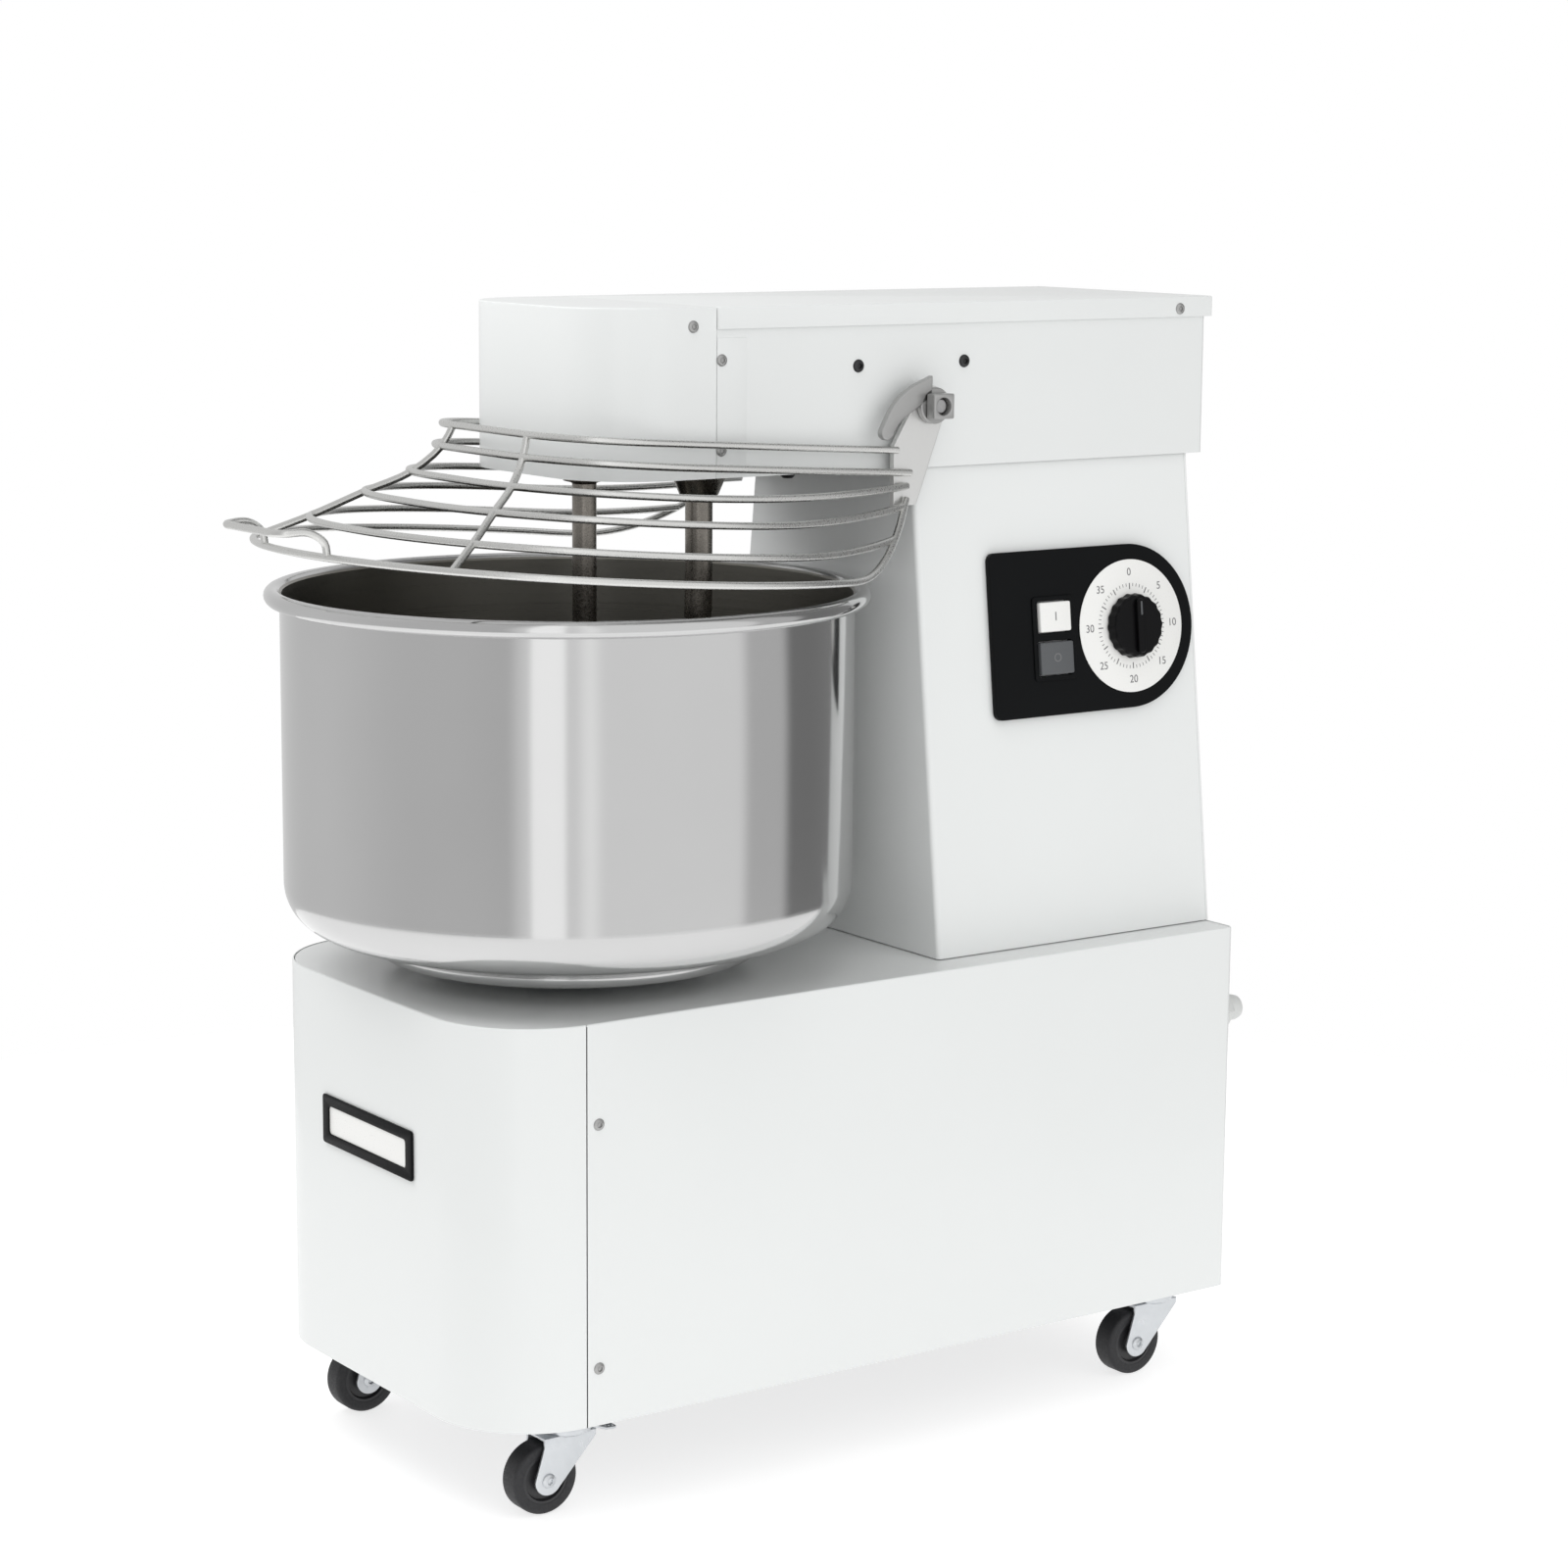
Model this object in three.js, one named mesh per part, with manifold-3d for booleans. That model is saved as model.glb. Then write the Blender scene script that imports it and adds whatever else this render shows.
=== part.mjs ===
// Spiral dough mixer, 30 litre class, on four castors.
//
// Millimetres, +Z up. +X is the side that carries the control panel, and the bowl stands at the
// front, towards -Y. Everything is drawn about the middle of the base, on the floor, and the finished
// group then moves so that the origin is under the middle of the whole machine, guard included.

import * as THREE from 'three';
import { mergeVertices } from 'three/addons/utils/BufferGeometryUtils.js';
import Module from 'manifold-3d';

const wasm = await Module();
wasm.setup();

// ---------------------------------------------------------------------------------------------
// Driving dimensions
// ---------------------------------------------------------------------------------------------

const GAP = 0.3; // between two pieces that touch
const SHEET = 2; // body panels

const FOOTPRINT_CENTRE_Y = -32.5; // middle of the whole machine from guard handle to lid

const BASE_BOTTOM = 68;
const BASE_TOP = 346;
const BASE_HALF_WIDTH = 165;
const BASE_FRONT = -322;
const BASE_REAR = 322;
const BASE_FRONT_RADIUS = 74;
const BASE_REAR_RADIUS = 6;
const BASE_SEAM = -249; // front cover meets the side shell
const GLAND_X = 148; // cable gland in the rear wall
const GLAND_Z = 279;
const PLATE_HALF_LENGTH = 63; // nameplate
const PLATE_HALF_HEIGHT = 17.5;
const PLATE_Z = 244;

const COLUMN_FRONT = 66;
const COLUMN_REAR = 322;
const COLUMN_HALF_BOTTOM = 136;
const COLUMN_HALF_TOP = 97;
const LOUVRES = 6;
const LOUVRE_BOTTOM = 420; // height of the lowest louvre
const LOUVRE_PITCH = 14;

const PANEL_MID_Z = 571;
const PANEL_LEFT = 126.5; // the panel runs from here to the rear, along Y
const PANEL_RIGHT = 315.5;
const PANEL_HALF_HEIGHT = 60.5;
const PANEL_THICKNESS = 5;
const PANEL_CORNER = 6;
const DIAL_RADIUS = 49;
const KNOB_RADIUS = 24;
const KNOB_HEIGHT = 9;
const KNOB_STEM = 4;
const BUTTON_INSET = 56; // from the panel's front edge to the middle of the buttons
const BUTTON_TRAVEL = 3;
const BUTTON_PLAY = 0.6;

const HEAD_BOTTOM = 695;
const HEAD_TOP = 811;
const HEAD_HALF_WIDTH = 100;
const HEAD_FRONT = -196;
const HEAD_REAR = 336;
const HEAD_NOSE_RADIUS = 58;
const HEAD_SEAM = -103; // nose cover meets the housing
const LID_SHEET = 1.2;
const PLUG_Y = 27; // plug under the head
const LID_LIP = 15; // how far the lid's edge turns down
const LID_REAR_OVERHANG = 5;
const FRAME_BOTTOM = 697; // structural plate inside the head
const FRAME_THICKNESS = 8;

const BOWL_Y = -159; // upright axis of the bowl
const BOWL_RADIUS = 200;
const BOWL_WALL = 1.5;
const BOWL_BOTTOM = 364;
const BOWL_RIM = 617;
const BOWL_CORNER = 44; // radius between wall and bottom
const BEAD_RADIUS = 6;
const FOOT_RING_RADIUS = 134; // welded under the bottom
const FOOT_RING_BOTTOM = 357;
const CARRIER_RADIUS = 98;

const SPIRAL_Y = -50; // upright axis of the spiral
const SPIRAL_SHAFT_RADIUS = 10;
const SPIRAL_COIL_RADIUS = 67; // to the middle of the rod
const SPIRAL_BOTTOM = 379;
const COIL_TOP = 570;
const COIL_TURNS = 1.35;
const BAR_Y = -146;
const BAR_RADIUS = 8.5;
const BAR_BOTTOM = 372;

const SHAFT_Y = 130; // upright main shaft
const SHAFT_RADIUS = 12;
const LOWER_CHAIN_Z = 300;
const UPPER_CHAIN_Z = 770;
const BOWL_SPROCKET_RADIUS = 136;
const SMALL_SPROCKET_RADIUS = 24;
const UPPER_SPROCKET_RADIUS = 42;
const SPIRAL_SPROCKET_RADIUS = 30;
const CHAIN_WIDTH = 10;
const CHAIN_THICKNESS = 8;

const GEARBOX_Z = 440;
const WORM_OFFSET = 52; // worm axis beside the main shaft
const MOTOR_RADIUS = 52;

const PIVOT_Y = 72; // guard axle
const PIVOT_Z = 739.5;
const GUARD_TILT = Math.tan(THREE.MathUtils.degToRad(3.8));
const WIRE_RADIUS = 3;
const RIB_ANGLE = 38; // of the front ribs, from the front about the bowl's axis
const ARM_X = 108; // middle of each arm plate
const ARM_THICKNESS = 5;
const AXLE_RADIUS = 6;
const HANDLE_FRONT = -403;
const HANDLE_HALF = 40;
const HANDLE_Z = 668;

// Each guard rod: half width of its legs, y of its front, corner radius, height over the bowl's axis,
// degrees that its corner turns past the side, and the end of its right leg. The outer rod ends on
// the arm, and the two before it end on its rising rear stretch.
const GUARD_RODS = [
  { half: 110, front: -222, corner: 62, height: 722, past: 0, end: [110, 44, 709] },
  { half: 124, front: -230, corner: 86, height: 707, past: 0, end: [112, 54, 693] },
  { half: 145, front: -252, corner: 117, height: 688, past: 0, end: [113, 50, 684] },
  { half: 168, front: -288, corner: 149, height: 672, past: 15, end: [116, 45, 670] },
  { half: 193, front: -332, corner: 184, height: 653, past: 20, end: [135, 23, 650] },
  { half: 217, front: -376, corner: 217, height: 637, past: 32, end: [112, 50, 675] },
];

const WHEEL_RADIUS = 25;
const WHEEL_WIDTH = 18;
const CASTOR_X = 125;
const CASTOR_FRONT_Y = -241;
const CASTOR_REAR_Y = 282;
const CASTOR_TRAIL = 21;

// ---------------------------------------------------------------------------------------------
// Materials
// ---------------------------------------------------------------------------------------------

function material(color, roughness, metalness) {
  return new THREE.MeshStandardMaterial({ color, roughness, metalness });
}

const WHITE_PAINT = material(0xe8eaea, 0.35, 0.0);
const STAINLESS = material(0xb9babb, 0.32, 1.0);
const STEEL = material(0x8d8f90, 0.45, 1.0);
const DARK_STEEL = material(0x4a4c4e, 0.5, 0.9);
const ZINC = material(0xb0b4b6, 0.4, 0.9);
const CAST_GREY = material(0x6d7478, 0.6, 0.6);
const BLACK_PLASTIC = material(0x141516, 0.4, 0.0);
const GREY_PLASTIC = material(0x55585a, 0.5, 0.0);
const PALE_PLASTIC = material(0xcfd1d0, 0.45, 0.0);
const WHITE_PLASTIC = material(0xf1f1ee, 0.4, 0.0);
const BLACK_RUBBER = material(0x1f2022, 0.7, 0.0);
const BLUE_PAINT = material(0x3c5a78, 0.5, 0.1);

// ---------------------------------------------------------------------------------------------
// Solids
// ---------------------------------------------------------------------------------------------

/** Turns a closed three.js geometry into a manifold solid with its faces pointing out. */
function solid(geometry) {
  const bare = geometry.index ? geometry : geometry.clone();
  bare.deleteAttribute('normal');
  bare.deleteAttribute('uv');
  const merged = mergeVertices(bare, 1e-4);
  const position = merged.attributes.position;
  const corners = [];
  for (let i = 0; i < merged.index.count; i += 3) {
    const [a, b, c] = [0, 1, 2].map((k) => merged.index.getX(i + k));
    if (a !== b && b !== c && c !== a) corners.push(a, b, c);
  }
  if (signedVolume(position, corners) < 0) corners.reverse();
  return new wasm.Manifold(new wasm.Mesh({
    numProp: 3,
    vertProperties: new Float32Array(position.array),
    triVerts: new Uint32Array(corners),
  }));
}

function signedVolume(position, corners) {
  const [a, b, c] = [new THREE.Vector3(), new THREE.Vector3(), new THREE.Vector3()];
  let sum = 0;
  for (let i = 0; i < corners.length; i += 3) {
    a.fromBufferAttribute(position, corners[i]);
    b.fromBufferAttribute(position, corners[i + 1]);
    c.fromBufferAttribute(position, corners[i + 2]);
    sum += a.dot(b.cross(c));
  }
  return sum;
}

function geometryOf(manifold) {
  const mesh = manifold.getMesh();
  const geometry = new THREE.BufferGeometry();
  geometry.setAttribute('position', new THREE.BufferAttribute(mesh.vertProperties, 3));
  geometry.setIndex(new THREE.BufferAttribute(mesh.triVerts, 1));
  return geometry;
}

function join(parts) {
  return parts.reduce((whole, part) => whole.add(part));
}

/** A box given by its lowest and highest corners. */
function block(low, high) {
  const size = high.map((v, i) => v - low[i]);
  const geometry = new THREE.BoxGeometry(...size);
  geometry.translate(...high.map((v, i) => (v + low[i]) / 2));
  return solid(geometry);
}

/** An upright cylinder or cone between two heights. */
function post(radius, bottom, top, x = 0, y = 0, topRadius = radius, sides = 16) {
  const geometry = new THREE.CylinderGeometry(topRadius, radius, top - bottom, sides);
  geometry.rotateX(Math.PI / 2);
  geometry.translate(x, y, (top + bottom) / 2);
  return solid(geometry);
}

/** A cylinder lying along X. */
function rodX(radius, from, to, y, z, sides = 12) {
  const geometry = new THREE.CylinderGeometry(radius, radius, to - from, sides);
  geometry.rotateZ(Math.PI / 2);
  geometry.translate((from + to) / 2, y, z);
  return solid(geometry);
}

/** A cylinder lying along Y. */
function rodY(radius, from, to, x, z, sides = 14) {
  const geometry = new THREE.CylinderGeometry(radius, radius, to - from, sides);
  geometry.translate(x, (from + to) / 2, z);
  return solid(geometry);
}

/** An upright prism over a shape drawn in the XY plane. */
function prism(shape, bottom, top, curveSegments = 8) {
  const geometry = new THREE.ExtrudeGeometry(shape, {
    depth: top - bottom, bevelEnabled: false, curveSegments,
  });
  geometry.translate(0, 0, bottom);
  return solid(geometry);
}

/** A prism over a shape whose x and y are the machine's Y and Z, running along X. */
function prismX(shape, from, to, curveSegments = 8) {
  const geometry = new THREE.ExtrudeGeometry(shape, {
    depth: to - from, bevelEnabled: false, curveSegments,
  });
  geometry.applyMatrix4(new THREE.Matrix4().makeBasis(
    new THREE.Vector3(0, 1, 0), new THREE.Vector3(0, 0, 1), new THREE.Vector3(1, 0, 0),
  ));
  geometry.translate(from, 0, 0);
  return solid(geometry);
}

/** A solid of revolution about an upright axis from [radius, height] points. */
function turned(profile, x = 0, y = 0, segments = 32) {
  const points = profile.map(([r, z]) => new THREE.Vector2(r, z));
  const geometry = new THREE.LatheGeometry(points, segments);
  geometry.rotateX(Math.PI / 2);
  geometry.translate(x, y, 0);
  return solid(geometry);
}

/** A round rod that follows a smooth curve through its points. */
function bentRod(points, radius, steps, sides = 5) {
  const section = new THREE.Shape();
  section.absarc(0, 0, radius, 0, Math.PI * 2);
  const outline = new THREE.Shape(section.getSpacedPoints(sides).slice(0, sides));
  const curve = new THREE.CatmullRomCurve3(points.map((p) => new THREE.Vector3(...p)), false, 'centripetal');
  return solid(new THREE.ExtrudeGeometry(outline, { steps, bevelEnabled: false, extrudePath: curve }));
}

/** A rectangle with separate front (low y) and rear corner radii. */
function roundedPlan(halfWidth, front, rear, frontRadius, rearRadius) {
  const shape = new THREE.Shape();
  shape.moveTo(-halfWidth + frontRadius, front);
  shape.absarc(halfWidth - frontRadius, front + frontRadius, frontRadius, -Math.PI / 2, 0);
  shape.absarc(halfWidth - rearRadius, rear - rearRadius, rearRadius, 0, Math.PI / 2);
  shape.absarc(-halfWidth + rearRadius, rear - rearRadius, rearRadius, Math.PI / 2, Math.PI);
  shape.absarc(-halfWidth + frontRadius, front + frontRadius, frontRadius, Math.PI, Math.PI * 1.5);
  return shape;
}

/** The base's outline, moved inwards by inset. */
function basePlan(inset) {
  return roundedPlan(
    BASE_HALF_WIDTH - inset, BASE_FRONT + inset, BASE_REAR - inset,
    BASE_FRONT_RADIUS - inset, Math.max(BASE_REAR_RADIUS - inset, 1),
  );
}

/** The head's outline, moved inwards by inset. */
function headPlan(inset) {
  return roundedPlan(
    HEAD_HALF_WIDTH - inset, HEAD_FRONT + inset, HEAD_REAR - inset,
    HEAD_NOSE_RADIUS - inset, Math.max(4 - inset, 1),
  );
}

const FAR = 1000; // half-space boxes reach this far

function cutAhead(body, y) {
  return body.subtract(block([-FAR, -FAR, -FAR], [FAR, y, FAR]));
}

function cutBehind(body, y) {
  return body.subtract(block([-FAR, y, -FAR], [FAR, FAR, FAR]));
}

// ---------------------------------------------------------------------------------------------
// Scene graph
// ---------------------------------------------------------------------------------------------

const mixer = new THREE.Group();

function add(name, body, finish, parent = mixer) {
  const mesh = new THREE.Mesh(geometryOf(body), finish);
  mesh.name = name;
  parent.add(mesh);
  return mesh;
}

// ---------------------------------------------------------------------------------------------
// Base
// ---------------------------------------------------------------------------------------------

const wallTop = BASE_TOP - SHEET - GAP;
const baseWalls = prism(basePlan(0), BASE_BOTTOM, wallTop, 8)
  .subtract(prism(basePlan(SHEET), BASE_BOTTOM - 1, wallTop + 1, 8));

add('front_cover', cutBehind(baseWalls, BASE_SEAM - GAP / 2), WHITE_PAINT);

const glandHole = rodY(9, BASE_REAR - 10, BASE_REAR + 10, GLAND_X, GLAND_Z);
add('side_shell', cutAhead(baseWalls, BASE_SEAM + GAP / 2).subtract(glandHole), WHITE_PAINT);

const trayInset = SHEET + GAP;
const trayFlange = 22;
const trayThickness = 3;
const tray = prism(basePlan(trayInset), BASE_BOTTOM, BASE_BOTTOM + trayFlange, 6)
  .subtract(prism(basePlan(trayInset + trayThickness), BASE_BOTTOM + trayThickness, BASE_TOP, 6));
add('chassis_tray', tray, DARK_STEEL);

const carrierHubRadius = 30;
const columnWell = block([-80, COLUMN_FRONT + 20, BASE_TOP - 20], [80, COLUMN_REAR - 30, BASE_TOP + 20]);
const deck = prism(basePlan(0), BASE_TOP - SHEET, BASE_TOP, 8)
  .subtract(post(carrierHubRadius + 4, BASE_TOP - 20, BASE_TOP + 20, 0, BOWL_Y))
  .subtract(columnWell);
add('deck_plate', deck, WHITE_PAINT);

const nameplate = block(
  [-PLATE_HALF_LENGTH, BASE_FRONT - GAP - 2, PLATE_Z - PLATE_HALF_HEIGHT],
  [PLATE_HALF_LENGTH, BASE_FRONT - GAP, PLATE_Z + PLATE_HALF_HEIGHT],
);
add('nameplate', nameplate, BLACK_PLASTIC);

const gland = rodY(8.6, BASE_REAR - 8, BASE_REAR + GAP, GLAND_X, GLAND_Z)
  .add(rodY(13, BASE_REAR + GAP, BASE_REAR + 8, GLAND_X, GLAND_Z, 6))
  .add(rodY(9, BASE_REAR + 7, BASE_REAR + 20, GLAND_X, GLAND_Z));
add('cable_gland', gland, PALE_PLASTIC);

// ---------------------------------------------------------------------------------------------
// Column
// ---------------------------------------------------------------------------------------------

const columnBottom = BASE_TOP + GAP;
const columnTop = HEAD_BOTTOM - GAP;
const columnHeight = columnTop - columnBottom;
const columnLean = Math.atan2(COLUMN_HALF_BOTTOM - COLUMN_HALF_TOP, columnHeight);

/** A tapered prism between two planes of constant y. */
function columnPrism(inset, front, rear, below = 0) {
  const spread = below * Math.tan(columnLean);
  const shape = new THREE.Shape();
  shape.moveTo(-COLUMN_HALF_BOTTOM + inset - spread, columnBottom - below);
  shape.lineTo(COLUMN_HALF_BOTTOM - inset + spread, columnBottom - below);
  shape.lineTo(COLUMN_HALF_TOP - inset - spread, columnTop + below);
  shape.lineTo(-COLUMN_HALF_TOP + inset + spread, columnTop + below);
  shape.closePath();
  const geometry = new THREE.ExtrudeGeometry(shape, { depth: rear - front, bevelEnabled: false });
  geometry.applyMatrix4(new THREE.Matrix4().makeBasis(
    new THREE.Vector3(1, 0, 0), new THREE.Vector3(0, 0, 1), new THREE.Vector3(0, -1, 0),
  ));
  geometry.translate(0, rear, 0);
  return solid(geometry);
}

const columnShell = columnPrism(0, COLUMN_FRONT, COLUMN_REAR - SHEET - GAP)
  .subtract(columnPrism(SHEET, COLUMN_FRONT + SHEET, COLUMN_REAR + 10, 5));

let rearCover = columnPrism(0, COLUMN_REAR - SHEET, COLUMN_REAR);
for (let i = 0; i < LOUVRES; i += 1) {
  const z = LOUVRE_BOTTOM + i * LOUVRE_PITCH;
  rearCover = rearCover.subtract(block([-45, COLUMN_REAR - 9, z], [45, COLUMN_REAR + 9, z + 5]));
}
add('rear_cover', rearCover, WHITE_PAINT);

// ---------------------------------------------------------------------------------------------
// Control panel, on the sloping right-hand side of the column. In the panel's own frame x is the
// machine's Y, y runs up the slope and z points out of the panel.
// ---------------------------------------------------------------------------------------------

const panelHalfAt = COLUMN_HALF_BOTTOM - (PANEL_MID_Z - columnBottom) * Math.tan(columnLean);
const dialY = PANEL_RIGHT - PANEL_HALF_HEIGHT;
const buttonY = PANEL_LEFT + BUTTON_INSET;
const buttons = {
  start_button: { up: 11.5, half: [14.5, 11], finish: WHITE_PLASTIC },
  stop_button: { up: -18.5, half: [15.5, 12], finish: GREY_PLASTIC },
};

const panel = new THREE.Group();
panel.position.set(panelHalfAt, 0, PANEL_MID_Z);
panel.quaternion.setFromRotationMatrix(new THREE.Matrix4().makeBasis(
  new THREE.Vector3(0, 1, 0),
  new THREE.Vector3(-Math.sin(columnLean), 0, Math.cos(columnLean)),
  new THREE.Vector3(Math.cos(columnLean), 0, Math.sin(columnLean)),
));
mixer.add(panel);
panel.updateMatrixWorld();

function panelPost(radius, from, to, x, y, sides = 32) {
  return post(radius, from, to, x, y, radius, sides);
}

const panelShape = new THREE.Shape();
panelShape.moveTo(PANEL_LEFT + PANEL_CORNER, -PANEL_HALF_HEIGHT);
panelShape.lineTo(dialY, -PANEL_HALF_HEIGHT);
panelShape.absarc(dialY, 0, PANEL_HALF_HEIGHT, -Math.PI / 2, Math.PI / 2);
panelShape.lineTo(PANEL_LEFT + PANEL_CORNER, PANEL_HALF_HEIGHT);
for (const [side, from] of [[1, Math.PI / 2], [-1, Math.PI]]) {
  const centreUp = side * (PANEL_HALF_HEIGHT - PANEL_CORNER);
  panelShape.absarc(PANEL_LEFT + PANEL_CORNER, centreUp, PANEL_CORNER, from, from + Math.PI / 2);
}

let panelPlate = prism(panelShape, GAP, GAP + PANEL_THICKNESS, 12);
panelPlate = panelPlate.subtract(panelPost(KNOB_STEM + 0.6, -5, 20, dialY, 0, 16));
let columnSide = columnShell;
const panelToWorld = panel.matrixWorld;

/** The same solid moved from the panel's frame into the machine's. */
function fromPanel(body) {
  const geometry = geometryOf(body);
  geometry.applyMatrix4(panelToWorld);
  return solid(geometry);
}

for (const { up, half } of Object.values(buttons)) {
  const [across, high] = half.map((v) => v + BUTTON_PLAY);
  const hole = block([buttonY - across, up - high, -8], [buttonY + across, up + high, 20]);
  panelPlate = panelPlate.subtract(hole);
  columnSide = columnSide.subtract(fromPanel(hole));
}
columnSide = columnSide.subtract(fromPanel(panelPost(KNOB_STEM + 0.6, -8, 8, dialY, 0, 16)));
add('column_shell', columnSide, WHITE_PAINT);
add('control_panel', panelPlate, BLACK_PLASTIC, panel);

const panelFace = GAP + PANEL_THICKNESS;
const dialThickness = 1.2;
const dial = panelPost(DIAL_RADIUS, panelFace + GAP, panelFace + GAP + dialThickness, dialY, 0, 40)
  .subtract(panelPost(KNOB_STEM + 0.6, 0, 20, dialY, 0, 16));
add('dial_scale', dial, WHITE_PLASTIC, panel);

const knobBottom = panelFace + GAP + dialThickness + 0.5;
const knob = post(KNOB_RADIUS, knobBottom, knobBottom + KNOB_HEIGHT, dialY, 0, KNOB_RADIUS - 2, 32)
  .add(panelPost(KNOB_STEM, -6, knobBottom + 0.5, dialY, 0, 16))
  .add(block([dialY - 3.5, -KNOB_RADIUS + 3, knobBottom + KNOB_HEIGHT - 1],
    [dialY + 3.5, KNOB_RADIUS - 3, knobBottom + KNOB_HEIGHT + 4]));
add('timer_knob', knob, BLACK_PLASTIC, panel);

for (const [name, { up, half, finish }] of Object.entries(buttons)) {
  const [across, high] = half;
  const face = panelFace + BUTTON_TRAVEL + 1;
  const cap = block([buttonY - across, up - high, 1], [buttonY + across, up + high, face]);
  add(name, cap, finish, panel);
}

// ---------------------------------------------------------------------------------------------
// Head
// ---------------------------------------------------------------------------------------------

const headWalls = (top) => prism(headPlan(0), HEAD_BOTTOM, top, 8)
  .subtract(prism(headPlan(SHEET), HEAD_BOTTOM - 1, top + 1, 8));

const noseTop = prism(headPlan(0), HEAD_TOP - SHEET, HEAD_TOP, 8);
const nose = cutBehind(headWalls(HEAD_TOP).add(noseTop), HEAD_SEAM - GAP / 2);
add('nose_cover', nose, WHITE_PAINT);

const lidUnderside = HEAD_TOP - SHEET;
const pivotHole = rodX(7, -FAR, FAR, PIVOT_Y, PIVOT_Z);
const housing = cutAhead(headWalls(lidUnderside - GAP), HEAD_SEAM + GAP / 2).subtract(pivotHole);
add('head_housing', housing, WHITE_PAINT);

const lidHalf = HEAD_HALF_WIDTH + GAP + LID_SHEET;
const lidRear = HEAD_REAR + LID_REAR_OVERHANG;
const lidBody = block([-lidHalf, HEAD_SEAM + GAP / 2, HEAD_TOP - LID_LIP], [lidHalf, lidRear, HEAD_TOP]);
const lidHollow = block(
  [-lidHalf + LID_SHEET, HEAD_SEAM - 10, HEAD_TOP - LID_LIP - 1],
  [lidHalf - LID_SHEET, lidRear - LID_SHEET, lidUnderside],
);
add('head_lid', lidBody.subtract(lidHollow), WHITE_PAINT);

const frameTop = FRAME_BOTTOM + FRAME_THICKNESS;
const spiralBore = 17;
const frame = prism(headPlan(SHEET + 1), FRAME_BOTTOM, frameTop, 6)
  .subtract(post(spiralBore, 600, 900, 0, SPIRAL_Y))
  .subtract(post(SHAFT_RADIUS + 5, 600, 900, 0, SHAFT_Y))
  .subtract(post(BAR_RADIUS + GAP, 600, 900, 0, BAR_Y));
add('head_frame', frame, DARK_STEEL);

add('head_plug', post(5, FRAME_BOTTOM - 15, FRAME_BOTTOM - GAP, 0, PLUG_Y, 11), DARK_STEEL);

// ---------------------------------------------------------------------------------------------
// Bowl, its carrier and bearing
// ---------------------------------------------------------------------------------------------

/** Points of an arc in the [radius, height] plane, angles in degrees. */
function arc(centreR, centreZ, radius, fromDeg, toDeg, steps) {
  return Array.from({ length: steps + 1 }, (_, i) => {
    const a = THREE.MathUtils.degToRad(fromDeg + ((toDeg - fromDeg) * i) / steps);
    return [centreR + radius * Math.cos(a), centreZ + radius * Math.sin(a)];
  });
}

const floorRise = 4; // the bottom lifts this much from its flat middle to the corner
const flatRadius = 108;
const cornerR = BOWL_RADIUS - BOWL_CORNER;
const cornerZ = BOWL_BOTTOM + floorRise + BOWL_CORNER;
const beadR = BOWL_RADIUS + BEAD_RADIUS - 0.5;
const beadZ = BOWL_RIM - BEAD_RADIUS;
const bowlProfile = [
  [0, BOWL_BOTTOM],
  [flatRadius, BOWL_BOTTOM],
  [FOOT_RING_RADIUS - 5, BOWL_BOTTOM + 1.5], [FOOT_RING_RADIUS - 5, FOOT_RING_BOTTOM],
  [FOOT_RING_RADIUS, FOOT_RING_BOTTOM], [FOOT_RING_RADIUS, BOWL_BOTTOM + 2],
  ...arc(cornerR, cornerZ, BOWL_CORNER, -90, 0, 5),
  [BOWL_RADIUS, beadZ - 4],
  ...arc(beadR, beadZ, BEAD_RADIUS, -130, 110, 4),
  [BOWL_RADIUS - BOWL_WALL, BOWL_RIM - 3],
  ...arc(cornerR, cornerZ, BOWL_CORNER - BOWL_WALL, 0, -90, 5),
  [flatRadius, BOWL_BOTTOM + BOWL_WALL],
  [0, BOWL_BOTTOM + BOWL_WALL],
];
add('bowl', turned(bowlProfile, 0, BOWL_Y, 36), STAINLESS);

const carrierTop = BOWL_BOTTOM - GAP;
const carrierShaftRadius = 15;
const carrierFoot = LOWER_CHAIN_Z - 20;
const carrierProfile = [
  [0, carrierFoot], [carrierShaftRadius, carrierFoot], [carrierShaftRadius, BASE_TOP - 8],
  [carrierHubRadius - 4, BASE_TOP - 6], [carrierHubRadius, carrierTop - 8],
  [CARRIER_RADIUS - 2, carrierTop - 7], [CARRIER_RADIUS, carrierTop - 2], [CARRIER_RADIUS - 2, carrierTop],
  [0, carrierTop],
];
add('bowl_carrier', turned(carrierProfile, 0, BOWL_Y, 24), CAST_GREY);

const bowlBearing = [
  [carrierShaftRadius + 0.6, BASE_TOP - 36], [30, BASE_TOP - 36], [34, BASE_TOP - 14],
  [54, BASE_TOP - 11], [54, BASE_TOP - SHEET - GAP], [carrierHubRadius + 4, BASE_TOP - SHEET - GAP],
  [carrierHubRadius + 3, BASE_TOP - 10], [carrierShaftRadius + 0.6, BASE_TOP - 12],
  [carrierShaftRadius + 0.6, BASE_TOP - 36],
];
add('bowl_bearing', turned(bowlBearing, 0, BOWL_Y, 20), CAST_GREY);

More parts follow.
